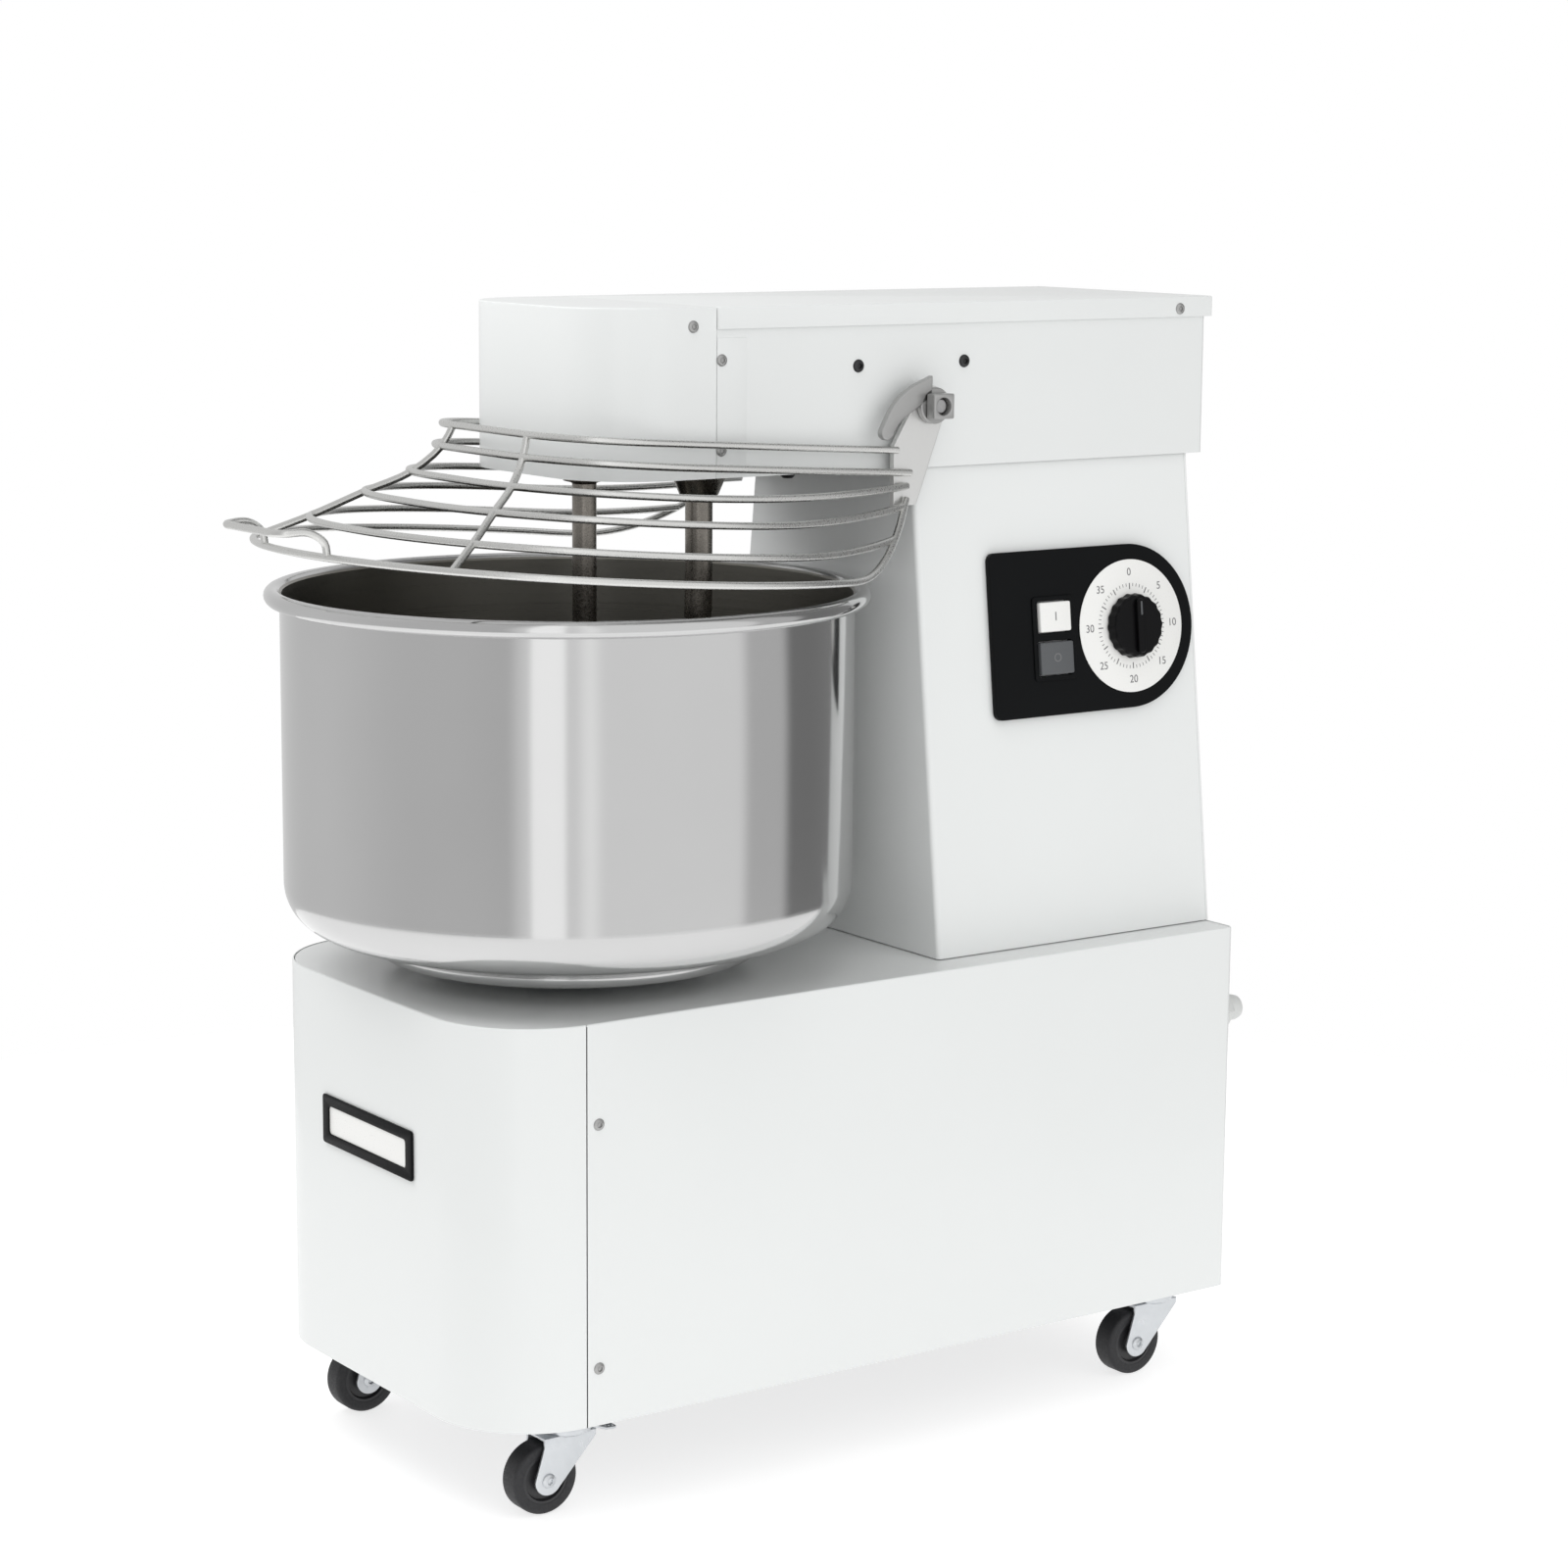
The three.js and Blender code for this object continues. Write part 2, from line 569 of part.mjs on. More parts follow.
/** A toothed wheel: a disc with a ring of short teeth, a hub and a bore. */
function sprocket(tipRadius, teeth, z, bore, x, y) {
  const shape = new THREE.Shape();
  const toothDepth = 3;
  for (let i = 0; i < teeth; i += 1) {
    for (const [turn, r] of [[0, tipRadius - toothDepth], [0.5, tipRadius]]) {
      const a = ((i + turn) / teeth) * Math.PI * 2;
      const place = [x + r * Math.cos(a), y + r * Math.sin(a)];
      if (i === 0 && turn === 0) shape.moveTo(...place);
      else shape.lineTo(...place);
    }
  }
  shape.closePath();
  const hub = post(bore + 9, z - 4, z + 10, x, y);
  return prism(shape, z - 3, z + 3).add(hub).subtract(post(bore, z - 50, z + 50, x, y));
}

const bowlSprocket = sprocket(BOWL_SPROCKET_RADIUS, 30, LOWER_CHAIN_Z, carrierShaftRadius + GAP, 0, BOWL_Y);
add('bowl_sprocket', bowlSprocket, STEEL);

/** A chain round two wheels whose axes lie on the machine's middle plane. */
function chain(y1, r1, y2, r2, z) {
  const loop = (grow) => {
    const shape = new THREE.Shape();
    const [a, b] = [r1 + grow, r2 + grow];
    const tilt = Math.asin((a - b) / (y2 - y1));
    shape.absarc(0, y1, a, tilt, -Math.PI - tilt, true);
    shape.absarc(0, y2, b, Math.PI - tilt, tilt, true);
    shape.closePath();
    return shape;
  };
  const half = CHAIN_WIDTH / 2;
  const outer = prism(loop(CHAIN_THICKNESS + 1), z - half, z + half, 12);
  return outer.subtract(prism(loop(1), z - half - 1, z + half + 1, 12));
}

add('bowl_chain', chain(BOWL_Y, BOWL_SPROCKET_RADIUS, SHAFT_Y, SMALL_SPROCKET_RADIUS, LOWER_CHAIN_Z), STEEL);

// ---------------------------------------------------------------------------------------------
// Main shaft, gearbox and motor
// ---------------------------------------------------------------------------------------------

const shaftBottom = 84;
const shaftTop = UPPER_CHAIN_Z + 14;
add('main_shaft', post(SHAFT_RADIUS, shaftBottom, shaftTop, 0, SHAFT_Y), STEEL);
add('lower_sprocket',
  sprocket(SMALL_SPROCKET_RADIUS, 10, LOWER_CHAIN_Z, SHAFT_RADIUS + GAP, 0, SHAFT_Y), STEEL);
add('upper_sprocket',
  sprocket(UPPER_SPROCKET_RADIUS, 14, UPPER_CHAIN_Z, SHAFT_RADIUS + GAP, 0, SHAFT_Y), STEEL);
add('spiral_chain',
  chain(SPIRAL_Y, SPIRAL_SPROCKET_RADIUS, SHAFT_Y, UPPER_SPROCKET_RADIUS, UPPER_CHAIN_Z), STEEL);

const trayTop = BASE_BOTTOM + trayThickness + GAP;
const lowerBearing = block([-45, SHAFT_Y - 30, trayTop], [45, SHAFT_Y + 30, trayTop + 6])
  .add(post(26, trayTop, trayTop + 34, 0, SHAFT_Y))
  .subtract(post(SHAFT_RADIUS + 0.6, trayTop + 8, 200, 0, SHAFT_Y));
add('lower_bearing', lowerBearing, CAST_GREY);

const upperBearing = post(28, frameTop + GAP, frameTop + 20, 0, SHAFT_Y)
  .subtract(post(SHAFT_RADIUS + 0.6, 600, 900, 0, SHAFT_Y));
add('upper_bearing', upperBearing, CAST_GREY);

const boxBottom = GEARBOX_Z - 40;
const boxTop = GEARBOX_Z + 32;
const wormWheelRadius = 38;
const wormRadius = 13;
const boxLow = [-52, SHAFT_Y - 52];
const boxHigh = [84, SHAFT_Y + 52];
const gearboxCase = block([boxLow[0], boxLow[1], boxBottom], [boxHigh[0], boxHigh[1], boxTop])
  .subtract(block(
    [boxLow[0] + 8, boxLow[1] + 8, boxBottom + 8], [boxHigh[0] - 8, boxHigh[1] - 8, boxTop + 5],
  ))
  .subtract(post(SHAFT_RADIUS + 0.6, boxBottom - 5, boxTop + 5, 0, SHAFT_Y))
  .subtract(rodY(9, SHAFT_Y, SHAFT_Y + 90, WORM_OFFSET, GEARBOX_Z));
add('gearbox_case', gearboxCase, CAST_GREY);
const gearboxCover = block([boxLow[0], boxLow[1], boxTop + GAP], [boxHigh[0], boxHigh[1], boxTop + 8])
  .subtract(post(SHAFT_RADIUS + 0.6, boxTop - 5, boxTop + 20, 0, SHAFT_Y));
add('gearbox_cover', gearboxCover, CAST_GREY);
const wormWheel = post(wormWheelRadius, GEARBOX_Z - 10, GEARBOX_Z + 10, 0, SHAFT_Y, wormWheelRadius, 36)
  .subtract(post(SHAFT_RADIUS + GAP, 300, 600, 0, SHAFT_Y));
add('worm_wheel', wormWheel, material(0x9a7b45, 0.4, 0.9));
const motorFace = SHAFT_Y + 62;
const motorRear = COLUMN_REAR - 14;
const wormShaft = rodY(wormRadius, SHAFT_Y - 28, SHAFT_Y + 28, WORM_OFFSET, GEARBOX_Z)
  .add(rodY(8, SHAFT_Y - 38, motorFace + 20, WORM_OFFSET, GEARBOX_Z));
add('worm_shaft', wormShaft, STEEL);
let motor = rodY(MOTOR_RADIUS, motorFace, motorRear, WORM_OFFSET, GEARBOX_Z, 28)
  .add(rodY(30, boxHigh[1] + GAP, motorFace + 1, WORM_OFFSET, GEARBOX_Z))
  .subtract(rodY(9, SHAFT_Y, motorFace + 26, WORM_OFFSET, GEARBOX_Z));
const terminalBox = block([WORM_OFFSET - 70, motorFace + 25, GEARBOX_Z - 25],
  [WORM_OFFSET - 40, motorFace + 75, GEARBOX_Z + 25]);
motor = motor.add(terminalBox);
add('motor', motor, BLUE_PAINT);

// ---------------------------------------------------------------------------------------------
// Spiral tool and breaker bar
// ---------------------------------------------------------------------------------------------

const spiralTop = UPPER_CHAIN_Z + 14;
const spiralPoints = [[0, SPIRAL_Y, COIL_TOP + 40], [0, SPIRAL_Y, COIL_TOP + 12]];
const coilSteps = 22;
for (let i = 0; i <= coilSteps; i += 1) {
  const s = i / coilSteps;
  const turn = s * COIL_TURNS * Math.PI * 2 + Math.PI / 2;
  const spread = SPIRAL_COIL_RADIUS * Math.sin(Math.min(1, s * 2.6 + 0.05) * (Math.PI / 2));
  const z = COIL_TOP - (COIL_TOP - SPIRAL_BOTTOM - SPIRAL_SHAFT_RADIUS) * s;
  spiralPoints.push([spread * Math.cos(turn), SPIRAL_Y + spread * Math.sin(turn), z]);
}
const spiralFlange = [
  [0, HEAD_BOTTOM - 24], [SPIRAL_SHAFT_RADIUS, HEAD_BOTTOM - 24], [14, HEAD_BOTTOM - 20],
  [20, HEAD_BOTTOM - 8], [20, HEAD_BOTTOM - 2], [SPIRAL_SHAFT_RADIUS, HEAD_BOTTOM - 2],
  [SPIRAL_SHAFT_RADIUS, spiralTop], [0, spiralTop],
];
const spiral = bentRod(spiralPoints, SPIRAL_SHAFT_RADIUS, 36, 8)
  .add(post(SPIRAL_SHAFT_RADIUS, COIL_TOP + 30, HEAD_BOTTOM - 20, 0, SPIRAL_Y))
  .add(turned(spiralFlange, 0, SPIRAL_Y, 16));
add('spiral_tool', spiral, STAINLESS);
add('spiral_sprocket',
  sprocket(SPIRAL_SPROCKET_RADIUS, 10, UPPER_CHAIN_Z, SPIRAL_SHAFT_RADIUS + GAP, 0, SPIRAL_Y), STEEL);

const spiralBearing = post(34, frameTop + GAP, frameTop + 10, 0, SPIRAL_Y)
  .add(post(24, frameTop + 5, frameTop + 40, 0, SPIRAL_Y))
  .subtract(post(SPIRAL_SHAFT_RADIUS + 0.6, 600, 900, 0, SPIRAL_Y));
add('spiral_bearing', spiralBearing, CAST_GREY);

const barProfile = [
  [0, BAR_BOTTOM], [BAR_RADIUS - 2, BAR_BOTTOM], [BAR_RADIUS, BAR_BOTTOM + 3],
  [BAR_RADIUS, HEAD_BOTTOM - 8], [15, HEAD_BOTTOM - 6], [15, FRAME_BOTTOM - GAP],
  [BAR_RADIUS, FRAME_BOTTOM - GAP], [BAR_RADIUS, frameTop + 12], [0, frameTop + 12],
];
add('breaker_bar', turned(barProfile, 0, BAR_Y, 16), STAINLESS);

// ---------------------------------------------------------------------------------------------
// Bowl guard: six bent rods of growing size, joined by ribs and hung on two arm plates
// ---------------------------------------------------------------------------------------------

/** Height of the tilted guard's rod at a distance along Y. */
function tilted(height, y) {
  return height + GUARD_TILT * (BOWL_Y - y);
}

/** The right-hand half of a rod: its front, its corner and a leg that runs on from it to its end. */
function halfRod({ half, front, corner, height, past, end }) {
  const plan = corner < half ? [[0, front]] : [];
  const turnTo = THREE.MathUtils.degToRad(90 + past);
  const arcSteps = 6;
  for (let i = 0; i <= arcSteps; i += 1) {
    const a = (i / arcSteps) * turnTo;
    plan.push([half - corner * (1 - Math.sin(a)), front + corner * (1 - Math.cos(a))]);
  }
  const points = plan.map(([x, y]) => [x, y, tilted(height, y)]);
  const start = new THREE.Vector2(...plan.at(-1));
  const chord = new THREE.Vector2(end[0], end[1]).sub(start);
  const heading = new THREE.Vector2(Math.cos(turnTo), Math.sin(turnTo)).multiplyScalar(chord.length());
  const rise = end[2] - tilted(height, end[1]);
  for (const s of [0.35, 0.7, 1]) {
    const [x, y] = [0, 1].map((k) => start.getComponent(k)
      + heading.getComponent(k) * s * (1 - s) + chord.getComponent(k) * s * s);
    points.push([x, y, tilted(height, y) + rise * s * s]);
  }
  return points;
}

/** The point of a half rod that lies in a direction from the bowl's axis, degrees from the front. */
function rodPoint(rod, degrees) {
  const points = halfRod(rod);
  const angle = ([x, y]) => THREE.MathUtils.radToDeg(Math.atan2(x, BOWL_Y - y));
  for (let i = 1; i < points.length; i += 1) {
    const [a, b] = [angle(points[i - 1]), angle(points[i])];
    if (degrees <= b) {
      const s = (degrees - a) / (b - a);
      return points[i - 1].map((v, k) => v + (points[i][k] - v) * s);
    }
  }
  return points[points.length - 1];
}

const mirrored = (points) => points.map(([x, y, z]) => [-x, y, z]);

const guardRods = GUARD_RODS.map((rod) => {
  const right = halfRod(rod);
  return bentRod([...mirrored(right).reverse(), ...right.slice(1)], WIRE_RADIUS, 24);
});

const ribPoints = GUARD_RODS.map((rod) => rodPoint(rod, RIB_ANGLE));
const ribs = [ribPoints, mirrored(ribPoints)].map((line) => bentRod(line, WIRE_RADIUS, 6));

const outerRod = GUARD_RODS[5];
const handleFoot = HANDLE_HALF + 4;
const rodFrontThere = outerRod.front + outerRod.half - Math.sqrt(outerRod.half ** 2 - handleFoot ** 2);
const rodTopThere = tilted(outerRod.height, rodFrontThere) + WIRE_RADIUS;
const handleSide = [
  [handleFoot, rodFrontThere, rodTopThere + 2 * GAP], [handleFoot, rodFrontThere - 2, rodTopThere + 8],
  [handleFoot - 1, rodFrontThere - 13, HANDLE_Z], [HANDLE_HALF, HANDLE_FRONT + 5, HANDLE_Z],
  [HANDLE_HALF - 8, HANDLE_FRONT, HANDLE_Z],
];
const handle = bentRod([...handleSide, ...mirrored(handleSide).reverse()], WIRE_RADIUS, 16, 6);
add('guard_handle', handle, STAINLESS);

const armShape = new THREE.Shape();
armShape.moveTo(PIVOT_Y - 32, 670);
armShape.lineTo(PIVOT_Y - 12, 670);
armShape.lineTo(PIVOT_Y + 14, PIVOT_Z);
armShape.absarc(PIVOT_Y, PIVOT_Z, 14, 0, Math.PI);
armShape.lineTo(PIVOT_Y - 32, 712);
armShape.closePath();
const axleFit = AXLE_RADIUS + GAP;
const armHalf = ARM_THICKNESS / 2;
const arms = [1, -1].map((side) => prismX(armShape, side * ARM_X - armHalf, side * ARM_X + armHalf)
  .subtract(rodX(axleFit, -200, 200, PIVOT_Y, PIVOT_Z)));
add('guard_grid', join([...guardRods, ...ribs, ...arms]), STAINLESS);

add('guard_axle', rodX(AXLE_RADIUS, -ARM_X - 14, ARM_X + 14, PIVOT_Y, PIVOT_Z), STEEL);

const camShape = new THREE.Shape();
camShape.moveTo(PIVOT_Y - 4, PIVOT_Z + 22);
camShape.quadraticCurveTo(PIVOT_Y - 30, PIVOT_Z + 14, PIVOT_Y - 47, PIVOT_Z - 15);
camShape.quadraticCurveTo(PIVOT_Y - 46, PIVOT_Z - 22, PIVOT_Y - 38, PIVOT_Z - 22);
camShape.quadraticCurveTo(PIVOT_Y - 30, PIVOT_Z - 4, PIVOT_Y - 4, PIVOT_Z - 4);
camShape.closePath();
const camFrom = ARM_X + armHalf + GAP;
const camTo = camFrom + 5.7;
const cam = prismX(camShape, camFrom, camTo)
  .add(rodX(13, camFrom, camTo, PIVOT_Y, PIVOT_Z))
  .subtract(rodX(axleFit, -200, 200, PIVOT_Y, PIVOT_Z));
add('guard_cam', cam, ZINC);

for (const [name, side] of [['axle_nut_right', 1], ['axle_nut_left', -1]]) {
  const inner = side > 0 ? ARM_X + 9 : ARM_X + 3;
  const nut = block([inner, PIVOT_Y - 9, PIVOT_Z - 9], [inner + 9, PIVOT_Y + 9, PIVOT_Z + 9])
    .subtract(rodX(axleFit, 0, 200, PIVOT_Y, PIVOT_Z));
  add(name, side > 0 ? nut : nut.mirror([1, 0, 0]), ZINC);
}

const safetySwitch = block([60, PIVOT_Y - 14, frameTop + GAP], [88, PIVOT_Y + 14, PIVOT_Z - 8])
  .add(post(4, PIVOT_Z - 9, PIVOT_Z - 6.6, 74, PIVOT_Y));
add('safety_switch', safetySwitch, GREY_PLASTIC);

// ---------------------------------------------------------------------------------------------
// Castors
// ---------------------------------------------------------------------------------------------

const PLATE_HALF = 29;
const plateTop = BASE_BOTTOM - GAP;
const forkGap = WHEEL_WIDTH / 2 + 1;
const forkSheet = 2.5;
const crown = WHEEL_RADIUS * 2 + 2.5;
const wheelBore = 4.5;

function castorPlate(x, y) {
  return block([x - PLATE_HALF, y - PLATE_HALF, plateTop - 2.5], [x + PLATE_HALF, y + PLATE_HALF, plateTop])
    .add(post(15, plateTop - 6.5, plateTop - 2, x, y, 19));
}

function castorFork(x, y, hasBrake) {
  const wheelY = y - CASTOR_TRAIL;
  const cheek = new THREE.Shape();
  const front = wheelY - 3;
  const rear = y + 17;
  cheek.moveTo(front, crown - 4);
  cheek.absarc(wheelY, WHEEL_RADIUS, 10.5, Math.PI, Math.PI * 1.8);
  cheek.lineTo(rear, crown - 2);
  cheek.lineTo(rear, crown + forkSheet);
  cheek.lineTo(front, crown + forkSheet);
  cheek.closePath();
  const right = prismX(cheek, x + forkGap, x + forkGap + forkSheet, 6);
  const left = prismX(cheek, x - forkGap - forkSheet, x - forkGap, 6);
  const top = block([x - forkGap - 1, front, crown], [x + forkGap + 1, rear, crown + forkSheet]);
  const race = post(18, crown + 1, plateTop - 7, x, y, 20);
  const axle = rodX(wheelBore - 0.5, x - forkGap - 5, x + forkGap + 5, wheelY, WHEEL_RADIUS, 12);
  const body = join([right, left, top, race, axle]);
  return hasBrake ? body.subtract(block([x - 8, y + 8, crown - 2], [x + 8, y + 30, crown + 6])) : body;
}

function castorWheel(x, y) {
  const half = WHEEL_WIDTH / 2;
  const profile = [
    [wheelBore, -half], [11, -half], [12, -half + 2], [WHEEL_RADIUS - 6, -half + 2],
    [WHEEL_RADIUS - 4, -half], [WHEEL_RADIUS, -half + 3], [WHEEL_RADIUS, half - 3], [WHEEL_RADIUS - 4, half],
    [WHEEL_RADIUS - 6, half - 2], [12, half - 2], [11, half], [wheelBore, half], [wheelBore, -half],
  ];
  // The facets lie outside the true circle, with one of them flat on the floor.
  const facets = 14;
  const outward = 1 / Math.cos(Math.PI / facets);
  const points = profile.map(([r, z]) => new THREE.Vector2(r * outward, z));
  const geometry = new THREE.LatheGeometry(points, facets, Math.PI / facets);
  geometry.rotateZ(Math.PI / 2);
  geometry.translate(x, y - CASTOR_TRAIL, WHEEL_RADIUS);
  return solid(geometry);
}

function brakePedal(x, y) {
  const shape = new THREE.Shape();
  shape.moveTo(y + 9, crown - 0.5);
  shape.lineTo(y + 20, crown + 0.5);
  shape.lineTo(y + 38, crown - 4);
  shape.lineTo(y + 39, crown - 1.5);
  shape.lineTo(y + 20, crown + 3);
  shape.lineTo(y + 9, crown + 2);
  shape.closePath();
  return prismX(shape, x - 7, x + 7);
}

const castors = {
  front_left: [-CASTOR_X, CASTOR_FRONT_Y, true],
  front_right: [CASTOR_X, CASTOR_FRONT_Y, true],
  rear_left: [-CASTOR_X, CASTOR_REAR_Y, false],
  rear_right: [CASTOR_X, CASTOR_REAR_Y, false],
};
for (const [corner, [x, y, hasBrake]] of Object.entries(castors)) {
  add(`castor_plate_${corner}`, castorPlate(x, y), ZINC);
  add(`castor_fork_${corner}`, castorFork(x, y, hasBrake), ZINC);
  add(`castor_wheel_${corner}`, castorWheel(x, y), BLACK_RUBBER);
  if (hasBrake) add(`brake_pedal_${corner}`, brakePedal(x, y), ZINC);
}

mixer.position.y = -FOOTPRINT_CENTRE_Y;

export default mixer;
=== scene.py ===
"""The looks of a spiral dough mixer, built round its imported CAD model.

Shapes are drawn in millimetres from the middle of the machine's base, on the floor: +X is the side with
the control panel and -Y is the front, where the bowl stands. at() turns them into scene metres.
"""
import math

import bmesh
import bpy
from mathutils import Matrix, Vector


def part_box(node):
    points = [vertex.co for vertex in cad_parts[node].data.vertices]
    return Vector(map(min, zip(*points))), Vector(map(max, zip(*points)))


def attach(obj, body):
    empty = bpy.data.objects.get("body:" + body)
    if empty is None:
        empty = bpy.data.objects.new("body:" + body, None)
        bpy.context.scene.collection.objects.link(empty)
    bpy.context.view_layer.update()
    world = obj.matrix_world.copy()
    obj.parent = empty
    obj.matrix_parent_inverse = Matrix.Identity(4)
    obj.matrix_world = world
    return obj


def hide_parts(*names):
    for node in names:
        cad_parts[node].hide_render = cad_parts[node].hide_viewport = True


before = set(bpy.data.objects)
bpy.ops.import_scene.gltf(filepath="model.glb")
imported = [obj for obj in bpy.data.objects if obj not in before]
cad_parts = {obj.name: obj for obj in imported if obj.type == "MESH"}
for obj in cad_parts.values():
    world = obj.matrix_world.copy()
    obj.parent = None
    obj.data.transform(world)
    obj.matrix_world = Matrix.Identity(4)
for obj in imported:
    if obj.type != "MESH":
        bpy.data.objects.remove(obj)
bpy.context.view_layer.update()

MM = 0.001
DECK_LOW, DECK_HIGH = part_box("deck_plate")
MIDDLE = Vector((0, (DECK_LOW.y + DECK_HIGH.y) / 2, 0))


def at(x, y, z):
    return Vector((x, y, z)) * MM + MIDDLE


def cad(node):
    """(lowest, highest) corner of a CAD node in millimetres from the middle of the base."""
    return [(corner - MIDDLE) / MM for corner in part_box(node)]


# ------------------------------------------------------------------------------------------------
# Driving dimensions, most of them read from the CAD frame
# ------------------------------------------------------------------------------------------------

GAP = 0.3
SHEET = 1.5
ROD_CHAMFER = 0.25  # of the rod's radius
ONTO_X = Matrix(((0, 0, 1, 0), (1, 0, 0, 0), (0, 1, 0, 0), (0, 0, 0, 1)))  # x, y, z go to y, z, x

base_low, base_high = cad("side_shell")
cover_low, cover_high = cad("front_cover")
BASE_HALF = base_high.x
BASE_FRONT = cover_low.y
BASE_REAR = base_high.y
BASE_SEAM = cover_high.y
BASE_BOTTOM = base_low.z
BASE_TOP = cad("deck_plate")[1].z
BASE_FRONT_RADIUS = 74

column_low, column_high = cad("column_shell")
COLUMN_FRONT = column_low.y
COLUMN_REAR = cad("rear_cover")[1].y
COLUMN_BOTTOM = column_low.z
COLUMN_TOP = column_high.z
COLUMN_HALF_BOTTOM = column_high.x
COLUMN_HALF_TOP = 97

head_low, head_high = cad("head_housing")
nose_low, nose_high = cad("nose_cover")
lid_low, lid_high = cad("head_lid")
HEAD_HALF = head_high.x
HEAD_BOTTOM = head_low.z
HEAD_TOP = nose_high.z
HEAD_SEAM = nose_high.y
NOSE_RADIUS = 58

bowl_low, bowl_high = cad("bowl")
BOWL_Y = (bowl_low.y + bowl_high.y) / 2
BOWL_RADIUS = 200
BOWL_RIM = bowl_high.z
BOWL_BOTTOM = bowl_low.z
BEAD_RADIUS = 5.8

axle_low, axle_high = cad("guard_axle")
PIVOT_Y = (axle_low.y + axle_high.y) / 2
PIVOT_Z = (axle_low.z + axle_high.z) / 2
GUARD_TILT = math.tan(math.radians(3.8))
GUARD_LEVEL_Y = -159  # where a rod has its own height
WIRE_RADIUS = 2.6
ARM_X = 108

SPIRAL_Y = -50
SPIRAL_ROD = 9.8
BAR_LOW, BAR_HIGH = cad("breaker_bar")
BAR_Y = (BAR_LOW.y + BAR_HIGH.y) / 2


# ------------------------------------------------------------------------------------------------
# Shapes: each is (points, faces)
# ------------------------------------------------------------------------------------------------

def loft(sections, ring=True, loop=False, caps=True):
    """Skins a list of sections with the same number of points each."""
    count = len(sections[0])
    points = [p for section in sections for p in section]
    faces = []
    spans = len(sections) if loop else len(sections) - 1
    for i in range(spans):
        a, b = i * count, ((i + 1) % len(sections)) * count
        for j in range(count if ring else count - 1):
            k = (j + 1) % count
            faces.append((a + j, a + k, b + k, b + j))
    if caps and not loop:
        faces.append(tuple(reversed(range(count))))
        faces.append(tuple(range(len(points) - count, len(points))))
    return points, faces


def lathe(profile, segments=64, shape=None):
    """Turns (radius, height) points about Z. shape(radius, angle) may change the radius round a turn."""
    sections = []
    for i in range(segments):
        a = math.tau * i / segments
        section = []
        for r, z in profile:
            rr = shape(r, a) if shape else r
            section.append((rr * math.cos(a), rr * math.sin(a), z))
        sections.append(section)
    return loft(sections, ring=False, loop=True)


def arc(x, y, radius, start, end, steps):
    """Points on an arc in a plane, angles in degrees."""
    angles = [math.radians(start + (end - start) * i / steps) for i in range(steps + 1)]
    return [(x + radius * math.cos(a), y + radius * math.sin(a)) for a in angles]


def smooth_path(points, step):
    """A curve through the points, sampled about every step millimetres."""
    pts = [Vector(p) for p in points]
    pts = [2 * pts[0] - pts[1], *pts, 2 * pts[-1] - pts[-2]]
    path = []
    for p0, p1, p2, p3 in zip(pts, pts[1:], pts[2:], pts[3:]):
        knots = [0.0]
        for a, b in ((p0, p1), (p1, p2), (p2, p3)):
            knots.append(knots[-1] + max((b - a).length, 1e-6) ** 0.5)
        pieces = max(1, round((p2 - p1).length / step))
        for i in range(pieces):
            t = knots[1] + (knots[2] - knots[1]) * i / pieces
            path.append(between((p0, p1, p2, p3), knots, t))
    return [*path, pts[-2]]


def blend(a, b, start, end, t):
    return a * ((end - t) / (end - start)) + b * ((t - start) / (end - start))


def between(p, k, t):
    """The point at t on the curve between the middle two of four points p with knots k."""
    a = [blend(p[i], p[i + 1], k[i], k[i + 1], t) for i in range(3)]
    b = [blend(a[i], a[i + 1], k[i], k[i + 2], t) for i in range(2)]
    return blend(b[0], b[1], k[1], k[2], t)


def rod(path, radius, sides=14):
    """A round rod along a path, with a small chamfer at each end."""
    path = [Vector(p) for p in path]
    tangents = [(b - a).normalized() for a, b in zip(path, path[1:])]
    tangents = [tangents[0], *[(a + b).normalized() for a, b in zip(tangents, tangents[1:])],
                tangents[-1]]
    side = tangents[0].orthogonal().normalized()
    sections = []
    for centre, tangent in zip(path, tangents):
        side = (side - tangent * side.dot(tangent)).normalized()
        up = tangent.cross(side)
        sections.append([
            centre + (side * math.cos(a) + up * math.sin(a)) * radius
            for a in (math.tau * i / sides for i in range(sides))
        ])
    for end, inward in ((0, 1), (-1, -1)):
        middle, away = path[end], tangents[end] * inward
        ring = [middle + (p - middle) * (1 - ROD_CHAMFER) for p in sections[end]]
        sections[end] = [p + away * radius * ROD_CHAMFER for p in sections[end]]
        sections.insert(0 if end == 0 else len(sections), ring)
    return loft(sections)


def plan(half, front, rear, front_radius, rear_radius, z, steps=10):
    """A closed rounded rectangle at a height, counterclockwise from above."""
    outline = [
        *arc(half - front_radius, front + front_radius, front_radius, -90, 0, steps),
        *arc(half - rear_radius, rear - rear_radius, rear_radius, 0, 90, 4),
        *arc(-half + rear_radius, rear - rear_radius, rear_radius, 90, 180, 4),
        *arc(-half + front_radius, front + front_radius, front_radius, 180, 270, steps),
    ]
    return [(x, y, z) for x, y in outline]


def wall(path, section):
    """A sheet wall: section is a closed list of (inset, height) swept along an open path of
    (x, y, inward x, inward y)."""
    return loft([[(x + nx * d, y + ny * d, z) for d, z in section] for x, y, nx, ny in path])


def rounded_edge(top, radius=1.2, steps=3):
    """(inset, height) points of a rounded outer top edge."""
    return [(radius + x, top - radius + y) for x, y in arc(0, 0, radius, 180, 90, steps)]


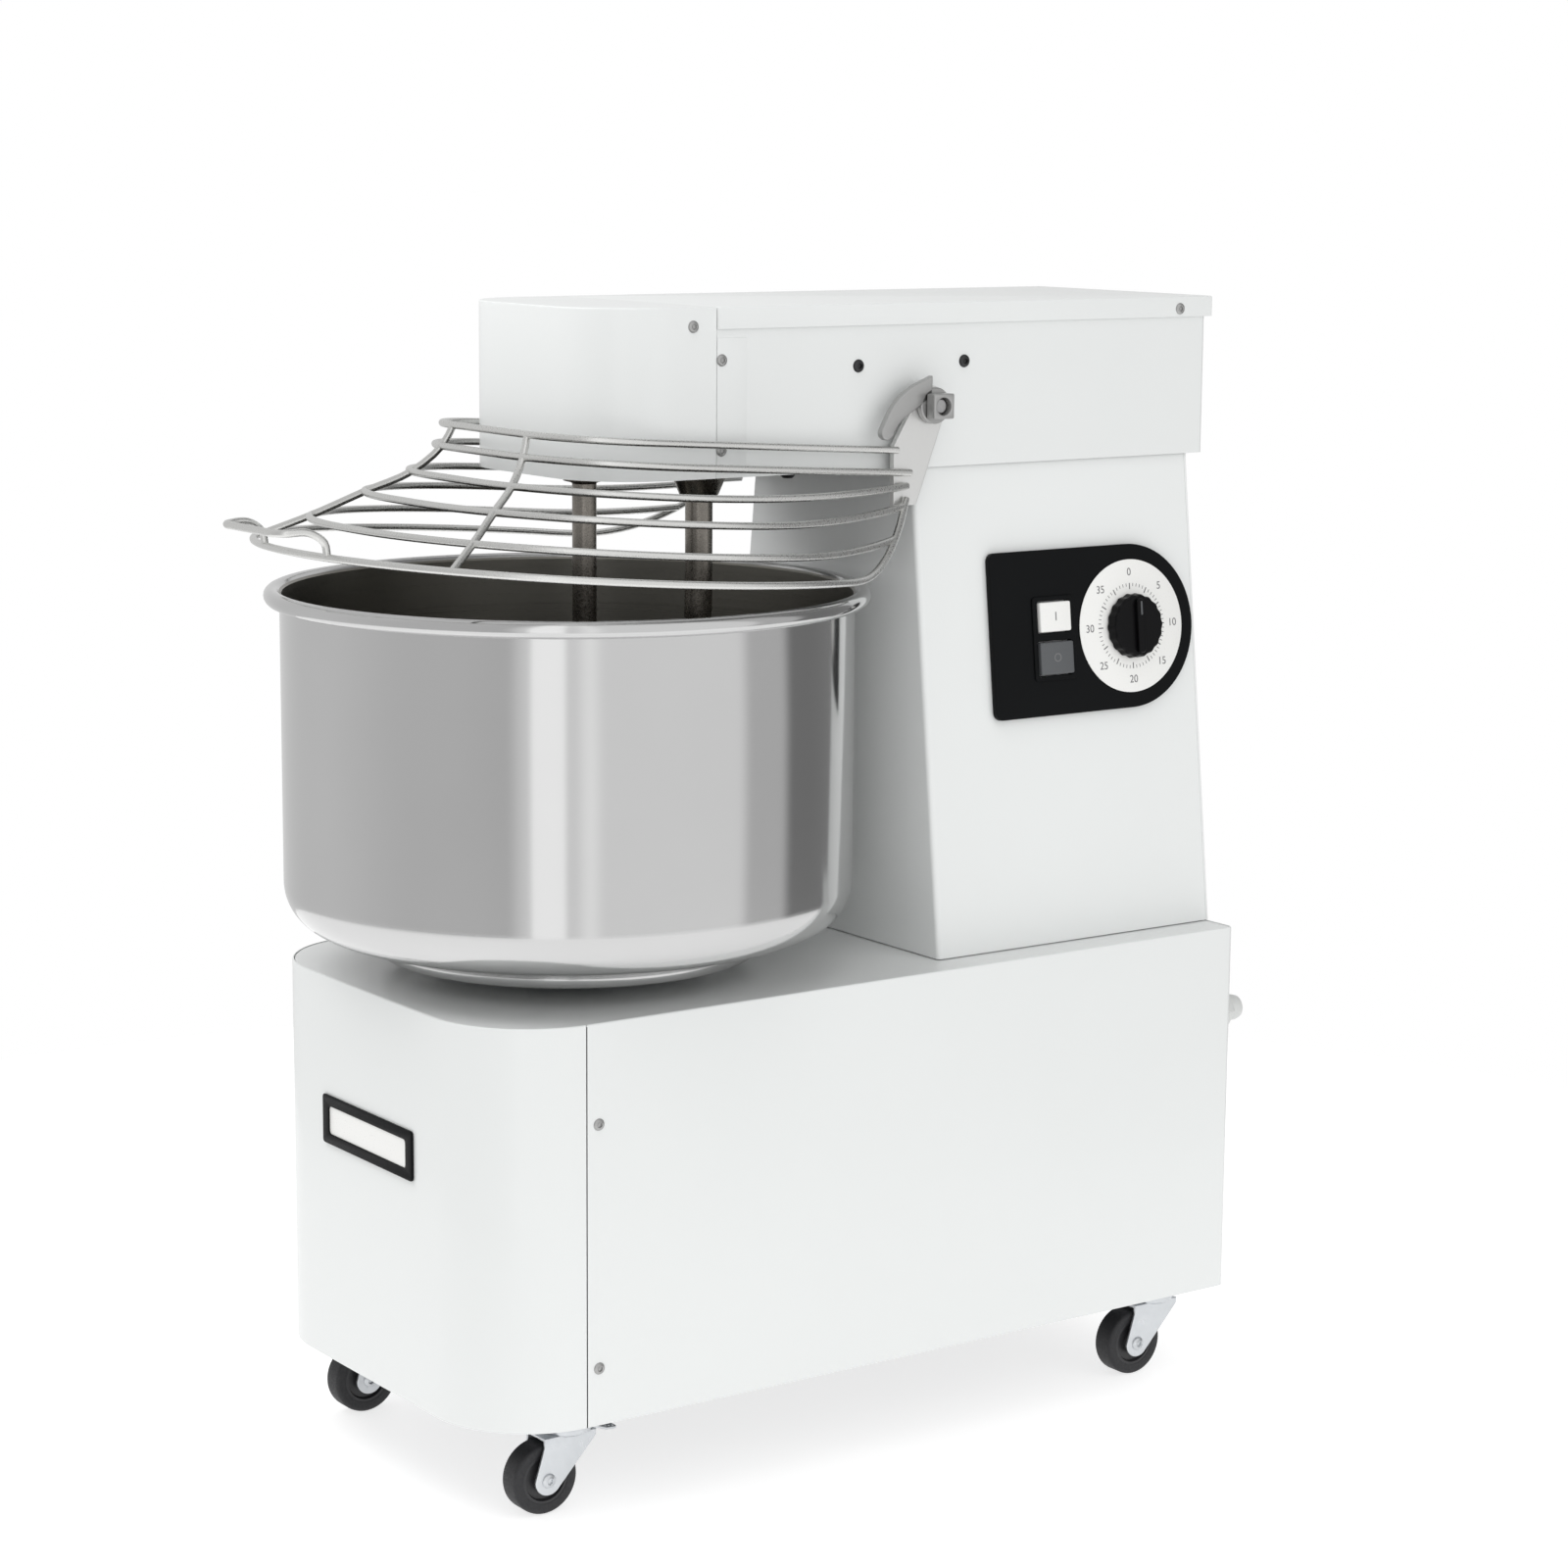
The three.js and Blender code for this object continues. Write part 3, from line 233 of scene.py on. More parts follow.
def wrap_path(half, end_y, bend_y, bend_radius, steps):
    """A U-shaped path of (x, y, inward x, inward y) from one open end round two bends to the other.
    bend_y is the closed end, in front of or behind the open end."""
    sign = 1 if bend_y > end_y else -1
    path = [(half, end_y, -1, 0)]
    for turn in (0, 1):
        for i in range(steps + 1):
            a = math.pi / 2 * (turn + i / steps)
            nx, ny = math.cos(a), sign * math.sin(a)
            cx = (half - bend_radius) * (1 if turn == 0 else -1)
            cy = bend_y - sign * bend_radius
            path.append((cx + bend_radius * nx, cy + bend_radius * ny, -nx, -ny))
    path.append((-half, end_y, 1, 0))
    return path


def moved(part, matrix):
    points, faces = part
    return [matrix @ Vector(p) for p in points], faces


def placed(part, x=0, y=0, z=0):
    return moved(part, Matrix.Translation((x, y, z)))


def along_x(part, x, y, z, flip=False):
    """Turns a part whose axis is Z so that the axis points along +X, or -X."""
    turn = Matrix.Rotation(math.radians(-90 if flip else 90), 4, "Y")
    return moved(part, Matrix.Translation((x, y, z)) @ turn)


def along_y(part, x, y, z, flip=False):
    """Turns a part whose axis is Z so that the axis points along -Y, or +Y."""
    turn = Matrix.Rotation(math.radians(-90 if flip else 90), 4, "X")
    return moved(part, Matrix.Translation((x, y, z)) @ turn)


def sheet(outlines, thickness, bevel=0.4, steps=2):
    """A flat plate in XY from z 0 up, with rounded edges.
    The first outline is the outside and the rest are holes."""
    curve = bpy.data.curves.new("outline", "CURVE")
    curve.dimensions = "2D"
    curve.fill_mode = "BOTH"
    curve.extrude = thickness / 2 - bevel
    curve.bevel_depth = bevel
    curve.bevel_resolution = steps
    curve.offset = -bevel
    for outline in outlines:
        spline = curve.splines.new("POLY")
        spline.points.add(len(outline) - 1)
        for point, (x, y) in zip(spline.points, outline):
            point.co = (x, y, 0, 1)
        spline.use_cyclic_u = True
    obj = bpy.data.objects.new("outline", curve)
    bpy.context.scene.collection.objects.link(obj)
    mesh = obj.evaluated_get(bpy.context.evaluated_depsgraph_get()).to_mesh()
    points = [(v.co.x, v.co.y, v.co.z + thickness / 2) for v in mesh.vertices]
    faces = [tuple(p.vertices) for p in mesh.polygons]
    bpy.data.objects.remove(obj)
    bpy.data.curves.remove(curve)
    return points, faces


def box_outline(half_x, half_y, radius, x=0, y=0, steps=5):
    """A rounded rectangle about x, y."""
    corners = ((1, -1, -90), (1, 1, 0), (-1, 1, 90), (-1, -1, 180))
    outline = []
    for sx, sy, start in corners:
        outline += arc(x + sx * (half_x - radius), y + sy * (half_y - radius), radius, start, start + 90,
                       steps)
    return outline


def circle(radius, x=0, y=0, steps=32):
    return arc(x, y, radius, 0, 360, steps)[:-1]


# ------------------------------------------------------------------------------------------------
# Materials
# ------------------------------------------------------------------------------------------------

def finish(name, colour, metallic=0.0, rough=(0.3, 0.4), scale=400.0, stretch=(1, 1, 1), bump=0.02,
           vary=0.03, coat=0.0, specular=0.5, turned=False, anisotropic=0.0):
    """A procedural finish: fine grain drives roughness and bump, broad noise drives the colour.
    turned finishes take their grain in rings about the piece's own Z axis."""
    material = bpy.data.materials.new(name)
    material.use_nodes = True
    nodes, links = material.node_tree.nodes, material.node_tree.links
    shader = nodes["Principled BSDF"]
    shader.inputs["Metallic"].default_value = metallic
    shader.inputs["Coat Weight"].default_value = coat
    shader.inputs["Coat Roughness"].default_value = 0.12
    shader.inputs["Specular IOR Level"].default_value = specular
    place = nodes.new("ShaderNodeTexCoord").outputs["Object"]

    broad = nodes.new("ShaderNodeTexNoise")
    broad.inputs["Scale"].default_value = 9.0
    broad.inputs["Detail"].default_value = 3.0
    links.new(place, broad.inputs["Vector"])
    mix = nodes.new("ShaderNodeMix")
    mix.data_type = "RGBA"
    mix.inputs["A"].default_value = (*[c * (1 - vary) for c in colour], 1)
    mix.inputs["B"].default_value = (*[min(1, c * (1 + vary)) for c in colour], 1)
    links.new(broad.outputs["Fac"], mix.inputs["Factor"])
    links.new(mix.outputs["Result"], shader.inputs["Base Color"])

    if turned:
        split = nodes.new("ShaderNodeSeparateXYZ")
        links.new(place, split.inputs[0])
        flat = nodes.new("ShaderNodeCombineXYZ")
        links.new(split.outputs["X"], flat.inputs["X"])
        links.new(split.outputs["Y"], flat.inputs["Y"])
        length = nodes.new("ShaderNodeVectorMath")
        length.operation = "LENGTH"
        links.new(flat.outputs[0], length.inputs[0])
        rings = nodes.new("ShaderNodeCombineXYZ")
        links.new(length.outputs["Value"], rings.inputs["X"])
        links.new(split.outputs["Z"], rings.inputs["Z"])
        place = rings.outputs[0]
    mapping = nodes.new("ShaderNodeMapping")
    mapping.inputs["Scale"].default_value = stretch
    links.new(place, mapping.inputs["Vector"])
    grain = nodes.new("ShaderNodeTexNoise")
    grain.inputs["Scale"].default_value = scale
    grain.inputs["Detail"].default_value = 5.0
    links.new(mapping.outputs[0], grain.inputs["Vector"])
    span = nodes.new("ShaderNodeMapRange")
    span.inputs["From Min"].default_value = 0.3
    span.inputs["From Max"].default_value = 0.7
    span.inputs["To Min"].default_value = rough[0]
    span.inputs["To Max"].default_value = rough[1]
    links.new(grain.outputs["Fac"], span.inputs["Value"])
    links.new(span.outputs["Result"], shader.inputs["Roughness"])
    relief = nodes.new("ShaderNodeBump")
    relief.inputs["Strength"].default_value = bump
    relief.inputs["Distance"].default_value = 0.001
    links.new(grain.outputs["Fac"], relief.inputs["Height"])
    links.new(relief.outputs["Normal"], shader.inputs["Normal"])
    if anisotropic:
        tangent = nodes.new("ShaderNodeTangent")
        tangent.direction_type = "RADIAL"
        tangent.axis = "Z"
        shader.inputs["Anisotropic"].default_value = anisotropic
        shader.inputs["Anisotropic Rotation"].default_value = 0.25
        links.new(tangent.outputs[0], shader.inputs["Tangent"])
    return material


WHITE = finish("white_powder_coat", (0.772, 0.788, 0.782), rough=(0.28, 0.4), scale=900, bump=0.05,
               vary=0.012, coat=0.25)
BRUSHED = finish("brushed_bowl_steel", (0.58, 0.58, 0.58), metallic=1.0, rough=(0.08, 0.17), scale=60,
                 stretch=(40, 1, 40), bump=0.015, vary=0.04, turned=True, anisotropic=0.8)
# The bowl's inside is the same steel with a darker, warmer colour: painted shade inside the bowl.
BOWL_INSIDE_SHADE = finish("bowl_inside_painted_shade", (0.27, 0.26, 0.235), metallic=1.0, rough=(0.26, 0.38), scale=60,
                     stretch=(40, 1, 40), bump=0.02, vary=0.06, turned=True, anisotropic=0.6)
WIRE = finish("drawn_wire", (0.68, 0.68, 0.665), metallic=1.0, rough=(0.24, 0.36), scale=700, bump=0.03,
              vary=0.06)
TOOL_STEEL = finish("tool_steel", (0.27, 0.25, 0.225), metallic=1.0, rough=(0.22, 0.32), scale=500,
                    bump=0.01,
                    vary=0.06)
ARM_STEEL = finish("satin_arm_steel", (0.72, 0.72, 0.71), metallic=0.9, rough=(0.3, 0.4), scale=500,
                   bump=0.01,
                   vary=0.03)
LEVER_STEEL = finish("lever_steel", (0.40, 0.40, 0.395), metallic=0.8, rough=(0.3, 0.42), scale=400,
                     bump=0.03,
                     vary=0.06)
STEEL = finish("machined_steel", (0.42, 0.42, 0.42), metallic=1.0, rough=(0.3, 0.45), scale=500,
               bump=0.04,
               vary=0.06)
ZINC = finish("zinc_plate", (0.62, 0.64, 0.66), metallic=0.85, rough=(0.26, 0.46), scale=160, bump=0.05,
              vary=0.09)
CASTING = finish("grey_casting", (0.16, 0.18, 0.19), metallic=0.3, rough=(0.5, 0.7), scale=260, bump=0.25,
                 vary=0.1)
DARK_STEEL = finish("dark_primer", (0.075, 0.08, 0.085), metallic=0.2, rough=(0.45, 0.6), scale=500,
                    bump=0.08, vary=0.08)
BLACK = finish("black_plastic", (0.0045, 0.005, 0.0055), rough=(0.34, 0.5), scale=1100, bump=0.08,
               vary=0.2,
               specular=0.08)
KNOB_BLACK = finish("knob_black", (0.003, 0.003, 0.0035), rough=(0.28, 0.42), scale=900, bump=0.06,
                    vary=0.2,
                    specular=0.12)
PALE = finish("pale_grey_plastic", (0.62, 0.63, 0.62), rough=(0.35, 0.48), scale=800, bump=0.05,
              vary=0.03)
GREY = finish("grey_plastic", (0.085, 0.09, 0.095), rough=(0.3, 0.42), scale=900, bump=0.05, vary=0.08)
IVORY = finish("white_plastic", (0.84, 0.84, 0.82), rough=(0.26, 0.36), scale=900, bump=0.04, vary=0.02)
RUBBER = finish("black_rubber", (0.016, 0.016, 0.018), rough=(0.5, 0.72), scale=700, bump=0.12, vary=0.25)
HUB = finish("wheel_hub", (0.022, 0.022, 0.024), rough=(0.35, 0.5), scale=500, bump=0.05, vary=0.1)
INK = finish("printed_ink", (0.16, 0.16, 0.165), rough=(0.4, 0.5), scale=900, bump=0.02, vary=0.05)
BRONZE = finish("bronze", (0.42, 0.27, 0.10), metallic=0.9, rough=(0.3, 0.45), scale=400, bump=0.05,
                vary=0.1)
ENAMEL = finish("motor_enamel", (0.045, 0.11, 0.19), rough=(0.35, 0.5), scale=400, bump=0.08, vary=0.06)
DARK_BOLT = finish("blackened_bolt", (0.05, 0.05, 0.052), metallic=0.8, rough=(0.35, 0.5), scale=500,
                   bump=0.05, vary=0.1)


# ------------------------------------------------------------------------------------------------
# Pieces
# ------------------------------------------------------------------------------------------------

def piece(name, parts, material, body="body", origin=(0, 0, 0), smooth=38, stands_for=()):
    """Joins parts drawn in millimetres into one object that rides on a body."""
    centre = at(*origin)
    bm = bmesh.new()
    for points, faces in parts:
        verts = [bm.verts.new(at(*p) - centre) for p in points]
        for face in faces:
            bm.faces.new([verts[i] for i in face])
    bmesh.ops.remove_doubles(bm, verts=bm.verts, dist=2e-6)
    bmesh.ops.dissolve_degenerate(bm, edges=bm.edges, dist=1e-7)
    bmesh.ops.recalc_face_normals(bm, faces=bm.faces)
    mesh = bpy.data.meshes.new(name)
    bm.to_mesh(mesh)
    bm.free()
    mesh.shade_smooth()
    mesh.set_sharp_from_angle(angle=math.radians(smooth))
    mesh.materials.append(material)
    obj = bpy.data.objects.new(name, mesh)
    bpy.context.scene.collection.objects.link(obj)
    obj.location = centre
    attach(obj, body)
    if stands_for:
        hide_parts(*stands_for)
    return obj


def make_base():
    top = BASE_TOP
    front_section = [(0, BASE_BOTTOM), *rounded_edge(top), (SHEET, top - 3), (SHEET, BASE_BOTTOM)]
    front = wrap_path(BASE_HALF, BASE_SEAM, BASE_FRONT, BASE_FRONT_RADIUS, 16)
    piece("front_cover_shell", [wall(front, front_section)], WHITE,
          stands_for=["front_cover"])
    sides = wrap_path(BASE_HALF, base_low.y, BASE_REAR, 5, 5)
    piece("side_wrap_shell", [wall(sides, front_section)], WHITE,
          stands_for=["side_shell"])
    strip_high = (BASE_TOP + BASE_BOTTOM) / 2
    lip = sheet([box_outline(GAP / 2 + 0.01, (BASE_TOP - BASE_BOTTOM) / 2 - 2, 0.05, steps=1)], 0.6, 0.02,
                1)
    lips = [moved(lip, Matrix.Translation((x, (BASE_SEAM + base_low.y) / 2, strip_high)) @ ONTO_X)
            for x in (BASE_HALF - 1.2, 0.6 - BASE_HALF)]
    piece("seam_lips", lips, WHITE)
    inset = SHEET + GAP
    outline = [(x, y) for x, y, _ in plan(BASE_HALF - inset, BASE_FRONT + inset, BASE_REAR - inset,
                                          BASE_FRONT_RADIUS - inset, 3.5, 0, 16)]
    deck = sheet([outline, circle(37, 0, BOWL_Y, 48)], 2.0, 0.5)
    piece("deck_sheet", [placed(deck, z=top - 2.4)], WHITE, smooth=12,
          stands_for=["deck_plate"])


def make_column():
    def section(z, steps=4):
        s = (z - COLUMN_BOTTOM) / (COLUMN_TOP - COLUMN_BOTTOM)
        half = COLUMN_HALF_BOTTOM + (COLUMN_HALF_TOP - COLUMN_HALF_BOTTOM) * s
        outer = wrap_path(half, column_high.y, COLUMN_FRONT, 3.5, steps)
        inner = [(x + nx * SHEET, y + ny * SHEET, z) for x, y, nx, ny in reversed(outer)]
        return [(x, y, z) for x, y, _, _ in outer] + inner

    shell = loft([section(COLUMN_BOTTOM), section(COLUMN_TOP)])
    piece("column_wrap_shell", [shell], WHITE, stands_for=["column_shell"])

    height = COLUMN_TOP - COLUMN_BOTTOM
    trapezoid = [(-COLUMN_HALF_BOTTOM, 0), (COLUMN_HALF_BOTTOM, 0), (COLUMN_HALF_TOP, height),
                 (-COLUMN_HALF_TOP, height)]
    slots = [box_outline(45, 2.5, 2.4, 0, 76 + 14 * i) for i in range(6)]
    upright = Matrix.Translation((0, COLUMN_REAR, COLUMN_BOTTOM)) @ Matrix.Rotation(math.radians(90), 4,
                                                                                    "X")
    cover = moved(sheet([trapezoid, *slots], 2.0, 0.4), upright)
    piece("rear_cover_sheet", [cover], WHITE, smooth=12, stands_for=["rear_cover"])


def make_head():
    top = HEAD_TOP
    edge = rounded_edge(top)
    nose_path = wrap_path(HEAD_HALF, HEAD_SEAM, nose_low.y, NOSE_RADIUS, 16)
    nose = wall(nose_path, [(0, HEAD_BOTTOM), *edge, (1.2, top - SHEET), (SHEET, top - 3),
                            (SHEET, HEAD_BOTTOM)])
    roof_low = [(x + nx * 1.2, y + ny * 1.2, top - SHEET) for x, y, nx, ny in nose_path]
    roof_high = [(x, y, top) for x, y, _ in roof_low]
    piece("nose_shell", [nose, loft([roof_low, roof_high])], WHITE,
          stands_for=["nose_cover"])

    housing_path = wrap_path(HEAD_HALF, head_low.y, head_high.y, 4, 4)
    housing_section = [(0, HEAD_BOTTOM), (0, head_high.z), (SHEET, head_high.z), (SHEET, HEAD_BOTTOM)]
    strip = sheet([[(0, 0), (24, 0), (24, 92), (0, 92)]], 0.4, 0.1)
    right = moved(strip, Matrix.Translation((HEAD_HALF, head_low.y + 0.2, HEAD_BOTTOM + 3)) @ ONTO_X)
    left = moved(strip, Matrix.Translation((-HEAD_HALF - 0.4, head_low.y + 0.2,
                                            HEAD_BOTTOM + 3)) @ ONTO_X)
    piece("housing_shell", [wall(housing_path, housing_section), right, left], WHITE,
          stands_for=["head_housing"])

    def lid_plan(inset, z):
        return plan(lid_high.x - inset, lid_low.y + inset, lid_high.y - inset, 1.6, 1.6, z, 4)

    levels = [(1.2, top - SHEET), (1.2, lid_low.z), (0, lid_low.z), *edge]
    piece("lid_shell", [loft([lid_plan(d, z) for d, z in levels])], WHITE,
          stands_for=["head_lid"])


def make_nameplate():
    low, high = cad("nameplate")
    half_x, half_z = high.x, (high.z - low.z) / 2
    face = Matrix.Translation((0, high.y, (low.z + high.z) / 2)) @ Matrix.Rotation(math.radians(90), 4,
                                                                                   "X")
    window = box_outline(half_x - 9, half_z - 7.5, 2.5)
    rim = moved(sheet([box_outline(half_x, half_z, 2.5), window], 1.8, 0.5), face)
    piece("nameplate_frame", [rim], BLACK, stands_for=["nameplate"])
    blank = moved(sheet([box_outline(half_x - 8.5, half_z - 7, 2)], 0.9, 0.2), face)
    piece("nameplate_blank", [blank], IVORY)


def make_gland():
    low, high = cad("cable_gland")
    x, z = (low.x + high.x) / 2, (low.z + high.z) / 2
    y = BASE_REAR + GAP

    def hexagon(r, a):
        across = r * math.cos(math.pi / 6) / math.cos(a % (math.pi / 3) - math.pi / 6)
        return across if 12.0 < r < 13.5 else r

    profile = [
        (0, 0), (12.6, 0), (13, 0.6), (13, 6.6), (12.6, 7.2), (9.4, 7.4), (9.8, 9), (9.6, 15),
        (8.6, 18.5),
        (6, 19.6), (4.6, 19.4), (4.4, 16), (0, 16),
    ]
    piece("gland_body", [along_y(lathe(profile, 48, hexagon), x, y, z, flip=True)], PALE,
          stands_for=["cable_gland"])


# --- bowl and its carrier -------------------------------------------------------------------------

def make_bowl():
    wall_thickness = 1.5
    knuckle, knuckle_z = 34.5, 410
    outer_knuckle = arc(BOWL_RADIUS - knuckle, knuckle_z, knuckle, -80, 0, 14)
    bead_middle = (BOWL_RADIUS + BEAD_RADIUS - 0.6, BOWL_RIM - BEAD_RADIUS - 0.2)
    bead = arc(*bead_middle, BEAD_RADIUS, -150, 150, 16)
    inner_knuckle = arc(BOWL_RADIUS - knuckle, knuckle_z, knuckle - wall_thickness, 0, -80, 14)
    profile = [
        (0, BOWL_BOTTOM), (106, BOWL_BOTTOM), (110, BOWL_BOTTOM + 0.6), *outer_knuckle,
        (BOWL_RADIUS, 470), (BOWL_RADIUS, 540), (BOWL_RADIUS, bead[0][1] - 1), *bead,
        (BOWL_RADIUS - wall_thickness, BOWL_RIM - 4.5), (BOWL_RADIUS - wall_thickness, 540),
        (BOWL_RADIUS - wall_thickness, 470), *inner_knuckle, (110, BOWL_BOTTOM + 2.1),
        (0, BOWL_BOTTOM + wall_thickness),
    ]
    bowl = piece("bowl_shell", [placed(lathe(profile, 160), 0, BOWL_Y)], BRUSHED, "bowl_group",
                 (0, BOWL_Y, 0),
                 stands_for=["bowl"])
    # Faces that look into the bowl take the darker steel, which paints shade on the bowl's inside.
    bowl.data.materials.append(BOWL_INSIDE_SHADE)
    for face in bowl.data.polygons:
        outward = face.center.x * face.normal.x + face.center.y * face.normal.y
        facing_in = outward < 0 or face.normal.z > 0.3
        if facing_in and face.center.xy.length < (BOWL_RADIUS - 0.5) * MM:
            face.material_index = 1
    ring = [(127, 358), *arc(132, 360, 2, -150, -20, 4), *arc(134.5, 364.6, 1.2, 0, 90, 3), (127, 367)]
    piece("bowl_foot_ring", [placed(lathe([*ring, ring[0]], 128), 0, BOWL_Y)], BRUSHED, "bowl_group",
          (0, BOWL_Y, 0))


def make_carrier():
    low, high = cad("bowl_carrier")
    top, rim = high.z, high.x
    profile = [
        (0, low.z), (15, low.z), (15, BASE_TOP - 8), (25, BASE_TOP - 6),
        *arc(28, BASE_TOP + 2, 2, 0, 60, 3),
        (29.5, top - 9), (33, top - 7.6), (rim - 3, top - 7), *arc(rim - 2.2, top - 4.6, 2, -70, 70, 6),
        (rim - 3, top), (0, top),
    ]
    ribs = []
    for i in range(6):
        rib = sheet([[(30, top - 7.4), (60, top - 7.4), (30, top - 13)]], 4, 0.8)
        upright = Matrix.Translation((0, 2, 0)) @ Matrix.Rotation(math.radians(90), 4, "X")
        turn = Matrix.Rotation(math.tau * i / 6, 4, "Z")
        ribs.append(moved(rib, Matrix.Translation((0, BOWL_Y, 0)) @ turn @ upright))
    piece("carrier_casting", [placed(lathe(profile, 72), 0, BOWL_Y), *ribs], CASTING, "bowl_group",
          (0, BOWL_Y, 0), stands_for=["bowl_carrier"])


# --- tools ----------------------------------------------------------------------------------------

def make_tools():
    top = HEAD_BOTTOM
    bar_foot = BAR_LOW.z
    bar = lathe([
        (0, bar_foot), (6, bar_foot), *arc(6.5, bar_foot + 2, 2, -90, 0, 4), (8.5, top - 9),
        (9.6, top - 8),
        (14, top - 7), *arc(14, top - 6, 1, -60, 0, 3), (15, top + 1.6), (8.5, top + 1.6),
        (8.5, BAR_HIGH.z),
        (0, BAR_HIGH.z),
    ], 48)
    piece("breaker_bar_tool", [placed(bar, 0, BAR_Y)], TOOL_STEEL, "body", (0, BAR_Y, 0),
          stands_for=["breaker_bar"])

    low, high = cad("spiral_tool")
    coil_radius, coil_top, turns = 67, 570, 1.35
    drop = coil_top - low.z - 10
    points = [(0, SPIRAL_Y, coil_top + 40), (0, SPIRAL_Y, coil_top + 12)]
    steps = 22
    for i in range(steps + 1):
        s = i / steps
        turn = s * turns * math.tau + math.pi / 2
        spread = coil_radius * math.sin(min(1, s * 2.6 + 0.05) * math.pi / 2)
        points.append((spread * math.cos(turn), SPIRAL_Y + spread * math.sin(turn), coil_top - drop * s))
    coil = rod(smooth_path(points, 5), SPIRAL_ROD, 24)
    shaft = placed(lathe([
        (0, coil_top + 20), (SPIRAL_ROD, coil_top + 20), (SPIRAL_ROD, top - 25), (14, top - 21),
        (19, top - 9),
        *arc(19, top - 7, 1, -40, 0, 3), (20, top - 3), *arc(18.5, top - 3, 1.5, 0, 90, 3),
        (10, top - 1.6),
        (10, high.z), (0, high.z),
    ], 48), 0, SPIRAL_Y)
    piece("spiral_hook", [coil, shaft], TOOL_STEEL, "spiral_group", (0, SPIRAL_Y, 0),
          stands_for=["spiral_tool"])

    plug_low, plug_high = cad("head_plug")
    plug_y = (plug_low.y + plug_high.y) / 2
    plug = lathe([
        (0, plug_low.z), (3.6, plug_low.z), (5, plug_low.z + 1.4), (10.4, plug_high.z - 2),
        (11, plug_high.z - 1),
        (11, plug_high.z), (0, plug_high.z),
    ], 32)
    piece("head_plug_cone", [placed(plug, 0, plug_y)], DARK_BOLT, "body",
          stands_for=["head_plug"])


# --- guard ----------------------------------------------------------------------------------------

# half width of the legs, y of the front, corner radius, height over the bowl's axis, degrees that the
# corner turns past the side, end of the right leg
GUARD_RODS = [
    (110, -222, 62, 722, 0, (110, 44, 709)),
    (124, -230, 86, 707, 0, (112, 54, 693)),
    (145, -252, 117, 688, 0, (113, 50, 684)),
    (168, -288, 149, 672, 15, (116, 45, 670)),
    (193, -332, 184, 653, 20, (135, 23, 650)),
    (217, -376, 217, 637, 32, (112, 50, 675)),
]
RIB_ANGLE = 38
HANDLE_HALF = 40


def tilted(height, y):
    return height + GUARD_TILT * (GUARD_LEVEL_Y - y)


def half_rod(half, front, corner, height, past, end):
    """The right half of a rod: its front, its corner and a leg that runs on from it to its end."""
    plan_points = [(0, front)] if corner < half else []
    turn_to = math.radians(90 + past)
    steps = 14
    for i in range(steps + 1):
        a = turn_to * i / steps
        plan_points.append((half - corner * (1 - math.sin(a)), front + corner * (1 - math.cos(a))))
    points = [(x, y, tilted(height, y)) for x, y in plan_points]
    start, finish_point = Vector(plan_points[-1]), Vector(end[:2])
    chord = finish_point - start
    heading = Vector((math.cos(turn_to), math.sin(turn_to))) * chord.length
    rise = end[2] - tilted(height, end[1])
    for s in (0.2, 0.4, 0.6, 0.8, 1):
        x, y = start + heading * s * (1 - s) + chord * s * s
        points.append((x, y, tilted(height, y) + rise * s * s))
    return points


def mirrored(points):
    return [(-x, y, z) for x, y, z in points]


def rod_point(spec, degrees):
    """Where a rod crosses a direction from the bowl's axis, in degrees from the front."""
    points = half_rod(*spec)
    angles = [math.degrees(math.atan2(x, GUARD_LEVEL_Y - y)) for x, y, _ in points]
    for i in range(1, len(points)):
        if degrees <= angles[i]:
            s = (degrees - angles[i - 1]) / (angles[i] - angles[i - 1])
            return Vector(points[i - 1]).lerp(Vector(points[i]), s)
    return Vector(points[-1])


